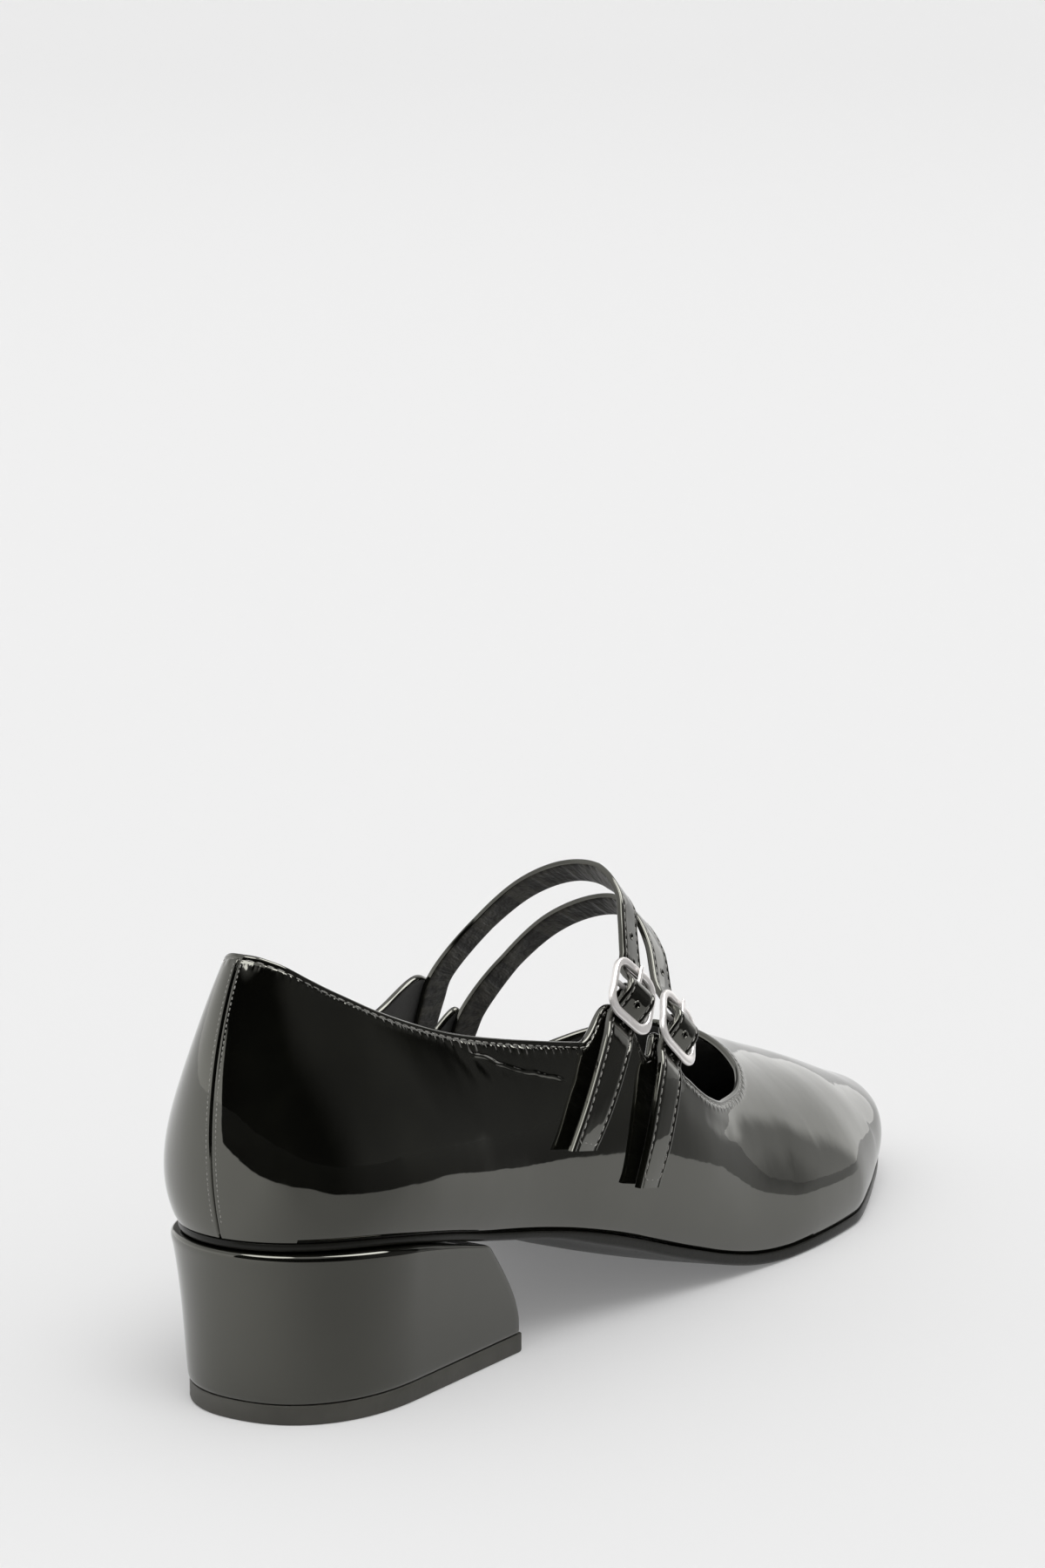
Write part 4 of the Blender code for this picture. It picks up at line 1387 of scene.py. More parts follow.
@dataclass
class Upper:
    """The upper: patent outside, rolled topline edge, lining, seam and stitching."""

    last: Last
    wall: float = 1.6
    rim_drop: float = 0.38
    rim_swell: float = 0.62
    rim_steps: int = 8
    furrow: Band = Band(-0.15, 0.68, 0.26)
    welt: Band = Band(0.08, 1.6, 0.6)
    lip: Band = Band(0.04, 0.15, 0.25)
    welt_start: Range = (2.0, 16.0)
    pucker: Band = Band(0.5, 2.05, 1.0)
    pucker_pitch: float = 2.3
    pucker_range: tuple[float, float, float, float] = (42.0, 52.0, 71.0, 82.0)
    ripple: Band = Band(0.05, 6.5, 2.6)
    ripple_pitch: float = 6.1
    tuck: Range = (1.1, 0.12)
    seam_columns: int = 30
    seam_groove: Band = Band(-0.42, 0.0, 0.18)
    seam_edge: Band = Band(0.05, 0.55, 0.3)
    seam_stitch: tuple[int, int, int] = (6, 8, 3)
    wall_samples: int = 241
    near_rows: tuple[float, ...] = (
        0.0, 0.2, 0.42, 0.66, 0.9, 1.14, 1.4, 1.7, 2.0, 2.3, 2.65, 3.1, 3.7, 4.5, 5.6)
    far_rows: int = 40
    even_reach: float = 9.0
    even_width: float = 22.0
    even_source: Range = (44.0, 0.2)
    even_picks: Range = (34.0, 0.25)
    even_lift: Range = (0.25, 0.55)
    lining_rows: int = 14
    outer_creases: tuple[Crease, ...] = (
        Crease(49.0, 66.2, 77.0, 57.2, 1.2, -0.17), Crease(53.0, 63.0, 78.0, 54.6, 1.8, 0.15),
        Crease(63.0, 62.0, 80.0, 59.0, 1.1, -0.10), Crease(91.0, 56.0, 78.0, 48.5, 2.4, 0.12),
        Crease(104.5, 50.0, 100.5, 41.0, 1.8, 0.14),
        Crease(120.0, 42.0, 133.0, 33.0, 2.6, 0.16),
        Crease(126.0, 37.0, 142.0, 31.0, 2.2, 0.12),
    )
    inner_creases: tuple[Crease, ...] = (
        Crease(84.0, 60.0, 66.0, 54.5, 2.6, 0.15),
        Crease(112.0, 50.5, 108.0, 41.0, 2.0, 0.14),
        Crease(128.0, 41.0, 142.0, 33.0, 2.6, 0.16),
    )

    def __post_init__(self) -> None:
        """Works out the plain wall, its normals and its distance from the topline."""
        self.ring, self.sides = self.last.ring()
        self.tops = self.last.top_shares(self.ring, self.sides)
        self.open = self.tops < 1.0 - 1e-6
        self.points = self._rows()
        self._even_vamp()
        self.normals = self._normals(self.points)
        self.loop = self._top_loop()
        self._measure_edge()

    def _rows(self) -> Array:
        """Points of the outside, close together near the topline.

        Returns:
            Points by column and row, top row first.
        """
        shares = np.linspace(1.0, 0.0, self.wall_samples)[None, :] * self.tops[:, None]
        near = np.array(self.near_rows)
        rows = []
        for line, is_open in zip(self.ring.wall(shares), self.open):
            start = self.rim_drop if is_open else 0.0
            far = np.linspace(near[-1], arc_length(line)[-1] - start, self.far_rows + 1)[1:]
            rows.append(resampled(line, start + np.concatenate([near, far]))[0])
        return np.array(rows)

    def _even_vamp(self) -> None:
        """Evens the vamp's height where its square sections turn into the toe's fan.

        Each spot moves towards a smooth surface fitted to the points round it.
        """
        lift = self._normals(self.points)[..., 2]
        middle = self.last.toe.axis_x
        away = np.abs(self.points[..., 0] - middle)
        thin = (slice(None, None, 4), slice(None, None, 3))
        span, least = self.even_source
        source = self.points[thin][((away < span) & (lift > least))[thin]]
        span, least = self.even_picks
        picks = (away < span) & (lift > least)
        spots = self.points[picks]
        dx = (source[None, :, 0] - spots[:, None, 0]) / self.even_reach
        dy = (source[None, :, 1] - spots[:, None, 1]) / self.even_reach
        weight = np.exp(-(dx ** 2 + dy ** 2))
        terms = [np.ones_like(dx), dx, dy, dx * dx, dx * dy, dy * dy]
        square = np.empty((len(spots), len(terms), len(terms)))
        value = np.empty((len(spots), len(terms)))
        for i, first in enumerate(terms):
            value[:, i] = (weight * first * source[None, :, 2]).sum(axis=1)
            for j, second in enumerate(terms):
                square[:, i, j] = (weight * first * second).sum(axis=1)
        even = np.linalg.solve(square, value[..., None])[:, 0, 0]
        share = smoothstep(*self.even_lift, lift[picks])
        share = share * bell(spots[:, 0], middle, self.even_width)
        self.points[picks, 2] += share * (even - spots[:, 2])

    def _normals(self, points: Array) -> Array:
        """Outward unit normals of the grid.

        Args:
            points: the grid, by column and row.

        Returns:
            One normal for each point.
        """
        du = np.roll(points, -1, axis=0) - np.roll(points, 1, axis=0)
        dt = np.gradient(points, axis=1)
        normal = np.cross(du, dt)
        weak = np.linalg.norm(normal, axis=2) < NO_AREA
        normal = unit(normal)
        middle = len(points) // 4
        if normal[middle, points.shape[1] // 2, 1] > 0.0:
            normal = -normal
        for row in range(points.shape[1] - 2, -1, -1):
            normal[:, row][weak[:, row]] = normal[:, row + 1][weak[:, row]]
        closed = ~self.open
        normal[closed, 0, 1] = 0.0
        return unit(normal)

    def _top_loop(self) -> Array:
        """Columns whose tops make the topline, in order, closed over the throat.

        Returns:
            Their numbers.
        """
        outer = np.flatnonzero(self.open & (self.sides < 0.0))
        inner = np.flatnonzero(self.open & (self.sides > 0.0))
        return np.concatenate([outer, outer[-1:] + 1, inner])

    def _measure_edge(self) -> None:
        """Distance from each point to the topline, and how far along it that is."""
        line = self.points[self.loop, 0]
        picked, places = line[::2], arc_length(line)[::2]
        self.edge = np.empty(self.points.shape[:2])
        self.along = np.empty(self.points.shape[:2])
        for column, points in enumerate(self.points):
            gaps = np.linalg.norm(points[:, None, :] - picked[None, :, :], axis=2)
            best = gaps.argmin(axis=1)
            self.edge[column] = gaps[np.arange(len(points)), best]
            self.along[column] = places[best]
        own = row_lengths(self.points)
        for c in np.flatnonzero(self.open):
            self.edge[c] = np.minimum(own[c], self.edge[c] + 0.5)
            self.along[c] = self.along[c, 0]

    def _creases(self) -> Array:
        """Depth of the listed troughs.

        Returns:
            The depth at each point.
        """
        depth = np.zeros(self.points.shape[:2])
        flat = self.points[..., [0, 2]]
        for side, creases in ((-1.0, self.outer_creases), (1.0, self.inner_creases)):
            on_side = (self.sides == side)[:, None]
            for crease in creases:
                start = np.array([crease.x0, crease.z0])
                run = np.array([crease.x1, crease.z1]) - start
                share = ((flat - start) @ run) / run.dot(run)
                foot = start + np.clip(share, 0.0, 1.0)[..., None] * run
                away = np.linalg.norm(flat - foot, axis=2)
                fade = np.clip(1.0 - np.abs(share - 0.4) * 0.9, 0.0, 1.0)
                depth += on_side * crease.depth * fade * bell(away, 0.0, crease.width)
        return depth

    def _relief(self) -> Array:
        """How far the skin stands out of the plain wall.

        Returns:
            The distance at each point.
        """
        v, along = self.edge, self.along
        x = self.points[..., 0]
        relief = self.furrow.at(v) + self.lip.at(v)
        relief = relief + smoothstep(*self.welt_start, x) * self.welt.at(v)
        start, full, fall, stop = self.pucker_range
        pull = smoothstep(start, full, x) * (1.0 - smoothstep(fall, stop, x))
        pull = pull * (self.sides < 0.0)[:, None]
        phase = along * TURN / self.pucker_pitch + 1.3 * np.sin(along / 5.1)
        swell = 0.7 + 0.3 * np.sin(along / 2.9)
        relief = relief + pull * swell * (0.5 + 0.5 * np.sin(phase)) * self.pucker.at(v)
        slow = np.sin(along * TURN / self.ripple_pitch - v * 0.5)
        relief = relief + pull * slow * self.ripple.at(v) - self._creases() + self._seam(v)
        lengths = row_lengths(self.points)
        reach, depth = self.tuck
        low = lengths[:, -1:] - lengths
        return relief - depth * np.clip(1.0 - low / reach, 0.0, 1.0) ** 2

    def _seam(self, v: Array) -> Array:
        """The back seam: two turned edges that meet in a groove.

        Args:
            v: each point's distance from the topline.

        Returns:
            The relief at each point.
        """
        reach = np.zeros(self.points.shape[:2])
        near = np.zeros(len(self.sides), bool)
        for step in (1, -1):
            picks = step * np.arange(self.seam_columns) % len(self.sides)
            gaps = np.linalg.norm(np.diff(self.points[picks], axis=0), axis=2)
            reach[picks[1:]] = np.cumsum(gaps, axis=0)
            near[picks] = True
        seam = self.seam_groove.at(reach) + self.seam_edge.at(reach)
        return seam * near[:, None] * smoothstep(0.2, 1.2, v)

    def _rim(self) -> list[Array]:
        """Rounded edge over the loop of tops.

        Returns:
            Rows of rim points between outside and inside.
        """
        tops = self.outside[self.loop, 0]
        plain = self.points[self.loop, 0]
        across = self.normals[self.loop, 0]
        out = unit(np.cross(directions(plain, True), across))
        quarter = len(self.loop) // 4
        if out[quarter, 2] < 0.0:
            out = -out
        middle = 0.5 * (tops + plain - across * self.wall)
        half = 0.5 * np.linalg.norm(tops - (plain - across * self.wall), axis=1)[:, None]
        rows = []
        for k in range(1, self.rim_steps):
            angle = math.pi * k / self.rim_steps
            rows.append(middle + across * half * math.cos(angle)
                        + out * self.rim_swell * math.sin(angle))
        return rows

    def make_shell(self) -> Piece:
        """Closed mesh of patent skin, rim and lining.

        Returns:
            The object.
        """
        self.outside = self.points + self.normals * self._relief()[..., None]
        plan = MeshPlan()
        uvs = np.stack([self.along, self.edge], axis=2) / UV_UNIT
        skin = plan.add(self.outside, uvs)
        plan.grid(skin, True)
        picks = np.unique(np.linspace(0, self.points.shape[1] - 1, self.lining_rows).astype(int))
        normals = self.normals[:, picks].copy()
        normals[:, -1, 2] = 0.0
        inside = self.points[:, picks] - unit(normals) * self.wall
        sock = plan.add(inside, uvs[:, picks])
        plan.grid(sock, True, 1)
        plan.strip(skin[:, -1], sock[:, -1], True)
        rows = [skin[self.loop, 0]]
        rows += [plan.add(row, uvs[self.loop, 0]) for row in self._rim()]
        rows.append(sock[self.loop, 0])
        for first, second in zip(rows, rows[1:]):
            plan.strip(first, second, True)
        materials = [FINISHES[Finish.STITCHED_PATENT], FINISHES[Finish.LINING]]
        return plan.build("upper_shell", materials, 60.0)

    def _contour(self, inset: float) -> tuple[Array, Array]:
        """Line on the skin at one distance from the topline.

        Args:
            inset: the distance.

        Returns:
            Its points, and the skin's normal at each.
        """
        points, facing = [], []
        for v, skin, normals in zip(self.edge, self.outside, self.normals):
            if v[0] > inset or v.max() < inset:
                continue
            r = int(np.argmax(v > inset))
            s = (inset - v[r - 1]) / (v[r] - v[r - 1])
            points.append(skin[r - 1] * (1.0 - s) + skin[r] * s)
            facing.append(normals[r])
        return np.array(points), np.array(facing)

    def make_stitching(self) -> list[Piece]:
        """The topstitch all round, and the fine stitches beside the back seam.

        Returns:
            One object for each row.
        """
        path, facing = self._contour(self.furrow.place)
        sewn = [StitchRow().sew("topline_stitching", path, facing, True)]
        seam = StitchRow(pitch=1.05, length=0.8, thickness=0.3, sink=0.06)
        aside, above, below = self.seam_stitch
        for name, column in (("outer", aside), ("inner", -aside)):
            line = self.outside[column, above:-below]
            facing = self.normals[column, above:-below]
            sewn.append(seam.sew(f"back_seam_stitching_{name}", line, facing))
        return sewn

    def build(self) -> None:
        """Makes the upper's pieces."""
        report(self.make_shell(), "black_patent", "upper")
        for row in self.make_stitching():
            report(row, "black_patent")


# --- sole and sock
@dataclass
class Bottom:
    """The outsole and the sock inside the shoe."""

    last: Last
    seat_thickness: float = 1.8
    seat_inset: float = 0.4
    margin: float = 0.3
    belly: float = 2.2
    column_step: int = 2
    skive: Range = (72.0, 92.0)
    emerge: Range = (46.0, 64.0)
    belly_range: tuple[float, float, float, float] = (92.0, 113.0, 122.0, 156.0)
    sole_top: tuple[Range, ...] = ((0.26, 0.0), (0.08, 0.08), (0.0, 0.26))
    sole_edge: tuple[Range, ...] = (
        (0.0, 0.95), (0.06, 0.66), (0.2, 0.4), (0.42, 0.2), (0.72, 0.07), (1.1, 0.0))
    sole_shares: tuple[float, ...] = (0.05, 0.1, 0.16, 0.22, 0.29, 0.36, 0.43)
    sock_inset: float = 2.2
    sock_edge: tuple[Range, ...] = (
        (0.4, 0.0), (0.0, 0.35), (0.05, 0.9), (0.35, 1.35), (0.9, 1.6))
    sock_shares: tuple[float, ...] = (0.06, 0.14, 0.24, 0.34, 0.43)

    def __post_init__(self) -> None:
        """Reads the upper's lower edge."""
        ring, _ = self.last.ring()
        self.edge = ring.base[:: self.column_step]

    def thickness(self, x: Array) -> Array:
        """The sole is skived thin under the heel seat."""
        grow = smoothstep(*self.skive, x)
        return self.seat_thickness + grow * (self.last.sole_thickness - self.seat_thickness)

    def offset(self, x: Array) -> Array:
        """The sole hides inside the seat's edge and shows outside it further forward."""
        return -self.seat_inset + smoothstep(*self.emerge, x) * (self.margin + self.seat_inset)

    def bow(self, x: Array) -> Array:
        """How far the underside bows down behind the ball."""
        start, full, fall, stop = self.belly_range
        return self.belly * smoothstep(start, full, x) * (1.0 - smoothstep(fall, stop, x))

    def bottom(self, x: Array) -> Array:
        """Height of the sole's underside at its edge."""
        return self.last.feather(x) - self.last.gap - self.thickness(x)

    def _inner(self, flat: Array, share: float) -> Array:
        """The outline drawn in towards the shoe's middle line."""
        partner = flat[(-np.arange(len(flat))) % len(flat)]
        return flat + (partner - flat) * share

    def make_outsole(self) -> Piece:
        """One sheet with a rolled edge and a softly bowed underside.

        Returns:
            The object.
        """
        x = self.edge[:, 0]
        top = self.last.feather(x) - self.last.gap
        low = self.bottom(x)
        rings = []
        for inset, drop in self.sole_top:
            rings.append((outline_offset(self.edge, self.offset(x) - inset), top - drop))
        for inset, lift in self.sole_edge:
            rings.append((outline_offset(self.edge, self.offset(x) - inset), low + lift))
        narrow = rings[-1][0]
        for share in self.sole_shares:
            fullness = 1.0 - (1.0 - 2.0 * share) ** 2
            rings.append((self._inner(narrow, share), low - fullness * self.bow(x)))
        plan = MeshPlan()
        plan.solid(rings)
        return plan.build("outsole_rolled", [FINISHES[Finish.SOLE]], PLATE_SHARP)

    def make_sock(self) -> Piece:
        """The sock: a thin lining with a soft edge.

        Returns:
            The object.
        """
        x = self.edge[:, 0]
        z = self.last.feather(x)
        rings = []
        for inset, lift in self.sock_edge:
            flat = outline_offset(self.edge, np.full(len(x), -self.sock_inset - inset))
            rings.append((flat, z + lift))
        narrow, top = rings[-1]
        for share in self.sock_shares:
            rings.append((self._inner(narrow, share), top))
        plan = MeshPlan()
        plan.solid(rings)
        return plan.build("sock", [FINISHES[Finish.SOCK]], PLATE_SHARP)

    def build(self) -> None:
        """Makes the sole and the sock."""
        report(self.make_outsole(), "sole_black", "outsole")
        report(self.make_sock(), "sock_lining", "insole")


# --- the heel
class HeelLevel(NamedTuple):
    """Plan of the heel block at a share of its height."""

    share: float
    back: float
    breast: float
    half_width: float
    roundness: float


@dataclass
class Heel:
    """Covered block heel with a rounded top edge, and its rubber top piece."""

    bottom: Bottom
    lift_thickness: float = 4.0
    lift_inset: float = 0.25
    lift_toe: float = 1.5
    back_depth: float = 30.0
    corner: float = 0.8
    back_points: int = 42
    side_points: int = 24
    corner_points: int = 6
    breast_points: int = 14
    cover_low: tuple[Range, ...] = ((0.0, 0.3), (0.012, 0.1), (0.03, 0.0))
    cover_sides: tuple[float, float, int] = (0.07, 0.93, 26)
    cover_high: tuple[Range, ...] = (
        (0.95, 0.02), (0.965, 0.1), (0.978, 0.26), (0.988, 0.48), (0.995, 0.74),
        (1.0, 1.1), (1.0, 1.6))
    lift_edge: tuple[Range, ...] = (
        (0.5, 4.0), (0.1, 4.0), (0.0, 3.88), (0.0, 2.0), (0.0, 0.55), (0.08, 0.26),
        (0.28, 0.06), (0.55, 0.0))
    levels: tuple[HeelLevel, ...] = (
        HeelLevel(0.00, 0.0, 67.0, 22.9, 2.3), HeelLevel(0.14, -0.4, 66.4, 23.2, 2.28),
        HeelLevel(0.30, -0.9, 64.9, 23.5, 2.24), HeelLevel(0.48, -1.6, 62.2, 23.9, 2.18),
        HeelLevel(0.68, -2.6, 58.3, 24.5, 2.1), HeelLevel(0.86, -3.7, 54.3, 25.2, 2.03),
        HeelLevel(1.00, -4.9, 51.0, 25.8, 1.98),
    )

    def __post_init__(self) -> None:
        """Turns the levels into smooth columns."""
        self.columns = smooth_columns(self.levels)

    def outline(self, share: float, inset: float = 0.0, toe: float = 0.0) -> Array:
        """Closed plan: round back, straight sides, flat breast with small corners.

        Args:
            share: share of the block's height.
            inset: how far the outline is drawn in.
            toe: how far the breast moves forward.

        Returns:
            Plan points, from the middle of the back by the outer side.
        """
        back, breast, half, roundness = (float(column(share)) for column in self.columns.values())
        back, breast, half = back + inset, breast + toe - inset, half - inset
        power = 2.0 / roundness
        turn = np.linspace(0.0, QUARTER, self.back_points)
        x = back + self.back_depth * (1.0 - np.maximum(np.cos(turn), 0.0) ** power)
        y = half * np.sin(turn) ** power
        start = back + self.back_depth
        along = np.linspace(start, breast - self.corner, self.side_points)[1:]
        bend = np.linspace(0.0, QUARTER, self.corner_points)[1:]
        corner_x = breast - self.corner * (1.0 - np.sin(bend))
        corner_y = half - self.corner * (1.0 - np.cos(bend))
        across = np.linspace(half - self.corner, 0.0, self.breast_points)[1:]
        xs = np.concatenate([x, along, corner_x, np.full(len(across), breast)])
        ys = np.concatenate([y, np.full(len(along), half), corner_y, across])
        outer = np.column_stack([xs, -ys])
        inner = np.column_stack([xs, ys])[-2:0:-1]
        return np.concatenate([outer, inner])

    def make_block(self) -> Piece:
        """The block: a patent cover drawn over a core, with a rounded top edge.

        Returns:
            The object.
        """
        foot = self.lift_thickness + self.bottom.last.gap
        top = self.bottom.bottom(self.outline(1.0)[:, 0]) - self.bottom.last.gap
        sides = tuple((share, 0.0) for share in np.linspace(*self.cover_sides))
        plan = MeshPlan()
        plan.solid([(self.outline(share, inset), foot + share * (top - foot))
                    for share, inset in self.cover_low + sides + self.cover_high])
        return plan.build("heel_block_cover", [FINISHES[Finish.HEEL_PATENT]], PLATE_SHARP)

    def make_lift(self) -> Piece:
        """The top piece, trimmed flush with a softened edge.

        Returns:
            The object.
        """
        plan = MeshPlan()
        plan.solid([(self.outline(0.0, self.lift_inset + inset, self.lift_toe), z)
                    for inset, z in self.lift_edge])
        return plan.build("heel_lift_trimmed", [FINISHES[Finish.LIFT]], PLATE_SHARP)

    def build(self) -> None:
        """Makes the block and its top piece."""
        report(self.make_block(), "heel_patent", "heel_block")
        report(self.make_lift(), "lift_rubber", "heel_lift")


# --- straps and buckles
class StrapPoint(NamedTuple):
    """A point of a strap's free arch and how its width leans and turns there."""

    x: float
    y: float
    z: float
    lean: float
    turn: float


@dataclass
class Buckle:
    """Place and pieces of one buckle: frame, centre bar and prong."""

    last: Last
    name: str
    x: float
    z: float
    slant: float = math.radians(43.0)
    standoff: float = 3.1
    bar_radius: float = 0.55
    bar_play: float = 0.2
    wire: float = 0.7
    half_length: float = 6.0
    half_width: float = 5.6
    corner: float = 2.2
    rounding: float = 1.1
    tilt: float = math.radians(-2.0)
    prong_width: float = 1.3
    prong_thickness: float = 0.76
    hook_end: float = 82.0
    hook_sweep: float = 230.0
    hook_points: int = 33
    tongue_points: int = 21
    tip_length: float = 0.55
    frame_points: int = 96
    squared: Range = (2.0 / 2.7, 2.0 / 2.7)
    loop_thickness: float = 0.45
    loop_width: float = 6.6
    loop_slot: float = 2.6
    loop_leg: float = 7.2
    loop_squared: Range = (0.35, 0.6)

    def __post_init__(self) -> None:
        """Finds the centre bar and its three directions on the ear."""
        point, normal, up, forward = self.last.surface_frame(self.x, self.z, Side.OUTER)
        self.out = normal
        self.up = up * math.cos(self.slant) + forward * math.sin(self.slant)
        self.across = unit(np.cross(self.up, self.out))
        self.bar = point + normal * self.standoff

    def at(self, up: float, out: float, across: float = 0.0) -> Array:
        """A point given from the centre bar."""
        return self.bar + self.up * up + self.out * out + self.across * across

    def tilted(self, up: float, out: float, across: float = 0.0) -> Array:
        """The same inside the frame, which leans about its centre bar."""
        cosine, sine = math.cos(self.tilt), math.sin(self.tilt)
        return self.at(up * cosine + out * sine, out * cosine - up * sine, across)

    def frame_end(self) -> tuple[float, float]:
        """Up and out distances from the centre bar to the frame's upper bar."""
        return self.half_length * math.cos(self.tilt), -self.half_length * math.sin(self.tilt)

    def make_frame(self) -> Piece:
        """Cast frame: broad flattened end bars, slimmer sides, round corners.

        Returns:
            The object.
        """
        corner = self.corner + self.rounding
        width = self.half_width + self.wire - corner
        length = self.half_length - corner
        spots = []
        for quarter, (sx, sy) in enumerate(((1, 1), (-1, 1), (-1, -1), (1, -1))):
            for share in np.linspace(0.0, 1.0, 11):
                angle = QUARTER * (quarter + share)
                spots.append((sx * width + corner * math.cos(angle),
                              sy * length + corner * math.sin(angle), 0.0))
        loop = np.array(spots + spots[:1])
        places = np.linspace(0.0, arc_length(loop)[-1], self.frame_points + 1)
        flat = resampled(loop, places[:-1])[0]
        path = np.array([self.tilted(up, 0.0, across) for across, up, _ in flat])
        normal = unit(self.tilted(0.0, 1.0) - self.tilted(0.0, 0.0))
        side = unit(np.cross(directions(path, True), normal))
        low_bar = smoothstep(1.5, 5.2, -flat[:, 1])
        high_bar = smoothstep(3.0, 5.6, flat[:, 1])
        broad = self.wire * (1.05 + 0.55 * low_bar + 0.15 * high_bar)
        thick = self.wire * (0.95 - 0.1 * low_bar)
        rings = oval_rings(side * broad[:, None], normal * thick[:, None], 20, self.squared)
        return sweep(path, rings, f"{self.name}_frame_cast", FINISHES[Finish.SILVER], True)

    def make_bar(self) -> Piece:
        """The round centre bar.

        Returns:
            The object.
        """
        reach = self.half_width + self.wire
        path = np.array([self.at(0.0, 0.0, across) for across in np.linspace(-reach, reach, 12)])
        up, out = (np.tile(way * self.bar_radius, (len(path), 1)) for way in (self.up, self.out))
        return sweep(path, oval_rings(up, out, 14), f"{self.name}_bar", FINISHES[Finish.SILVER])

    def prong_line(self) -> tuple[Array, Array]:
        """The prong's straight part.

        Returns:
            Its start at the bar, and its tip just past the upper bar.
        """
        half = 0.5 * self.prong_thickness
        end_up, end_out = self.frame_end()
        start = self.at(0.3, self.bar_radius + self.bar_play + half)
        return start, self.at(end_up + 1.0, end_out + self.wire + self.bar_play + half)

    def make_prong(self) -> Piece:
        """A hook round the bar, then a tapered tongue that rests on the upper bar.

        Returns:
            The object.
        """
        ring = self.bar_radius + self.bar_play + 0.5 * self.prong_thickness
        points = []
        for share in np.linspace(1.0, 0.0, self.hook_points):
            angle = math.radians(self.hook_end + self.hook_sweep * share)
            points.append(self.at(ring * math.cos(angle), ring * math.sin(angle)))
        bend, tip = points[-1], self.prong_line()[1]
        points += [bend + (tip - bend) * share
                   for share in np.linspace(0.0, 1.0, self.tongue_points)[1:]]
        path = np.array(points)
        along = arc_length(path)
        left = along[-1] - along
        short = np.clip(1.0 - left / self.tip_length, 0.0, None)
        size = np.sqrt(np.maximum(1.0 - short ** 2, 0.02))
        size = size * (0.78 + 0.22 * smoothstep(0.0, 4.5, left))
        size = (size * np.sqrt(np.clip(along / 0.3, 0.12, 1.0)))[:, None]
        across = np.tile(self.across, (len(path), 1))
        out = unit(np.cross(directions(path), across))
        rings = oval_rings(across * size * 0.5 * self.prong_width,
                           out * size * 0.5 * self.prong_thickness, 16)
        return sweep(path, rings, f"{self.name}_prong_drawn", FINISHES[Finish.SILVER])

    def make_loop(self) -> Piece:
        """The folded leather that wraps the bar, slotted for the prong, sewn to the ear.

        Returns:
            The object.
        """
        half = 0.5 * self.loop_thickness
        turn = self.bar_radius + self.bar_play + half
        base = self.last.gap - self.standoff + half
        spots = [(-self.loop_leg, base + self.loop_thickness), (-turn - 2.6, base + 0.45),
                 (-turn - 1.0, -0.62 * turn)]
        for angle in np.radians(np.linspace(200.0, -100.0, 15)):
            spots.append((turn * math.cos(angle), turn * math.sin(angle)))
        spots += [(-turn - 0.4, base + 0.05), (-turn - 2.0, base), (-self.loop_leg, base)]
        path = smooth_path([self.at(up, out) for up, out in spots], 4)
        across = np.tile(self.across, (len(path), 1))
        out = unit(np.cross(directions(path), across))
        middle = 0.25 * (self.loop_width + self.loop_slot)
        side = 0.25 * (self.loop_width - self.loop_slot)
        whole = len(path)
        bands = ((middle, side, whole), (-middle, side, whole), (0.0, 0.5 * self.loop_slot, 7))
        plan = MeshPlan()
        for aside, wide, stop in bands:
            rings = oval_rings(across[:stop] * wide, out[:stop] * half, 14,
                               self.loop_squared, 0.5)
            plan.tube(plan.add((path + across * aside)[:stop, None, :] + rings))
        return plan.build(f"{self.name}_loop_folded", [FINISHES[Finish.PATENT]])

    def build(self) -> None:
        """Makes the buckle's metal pieces and its leather loop."""
        report(self.make_frame(), "buckle_silver", f"{self.name}_frame")
        report(self.make_bar(), "buckle_silver")
        report(self.make_prong(), "buckle_silver", f"{self.name}_prong")
        report(self.make_loop(), "black_patent", f"{self.name}_loop")


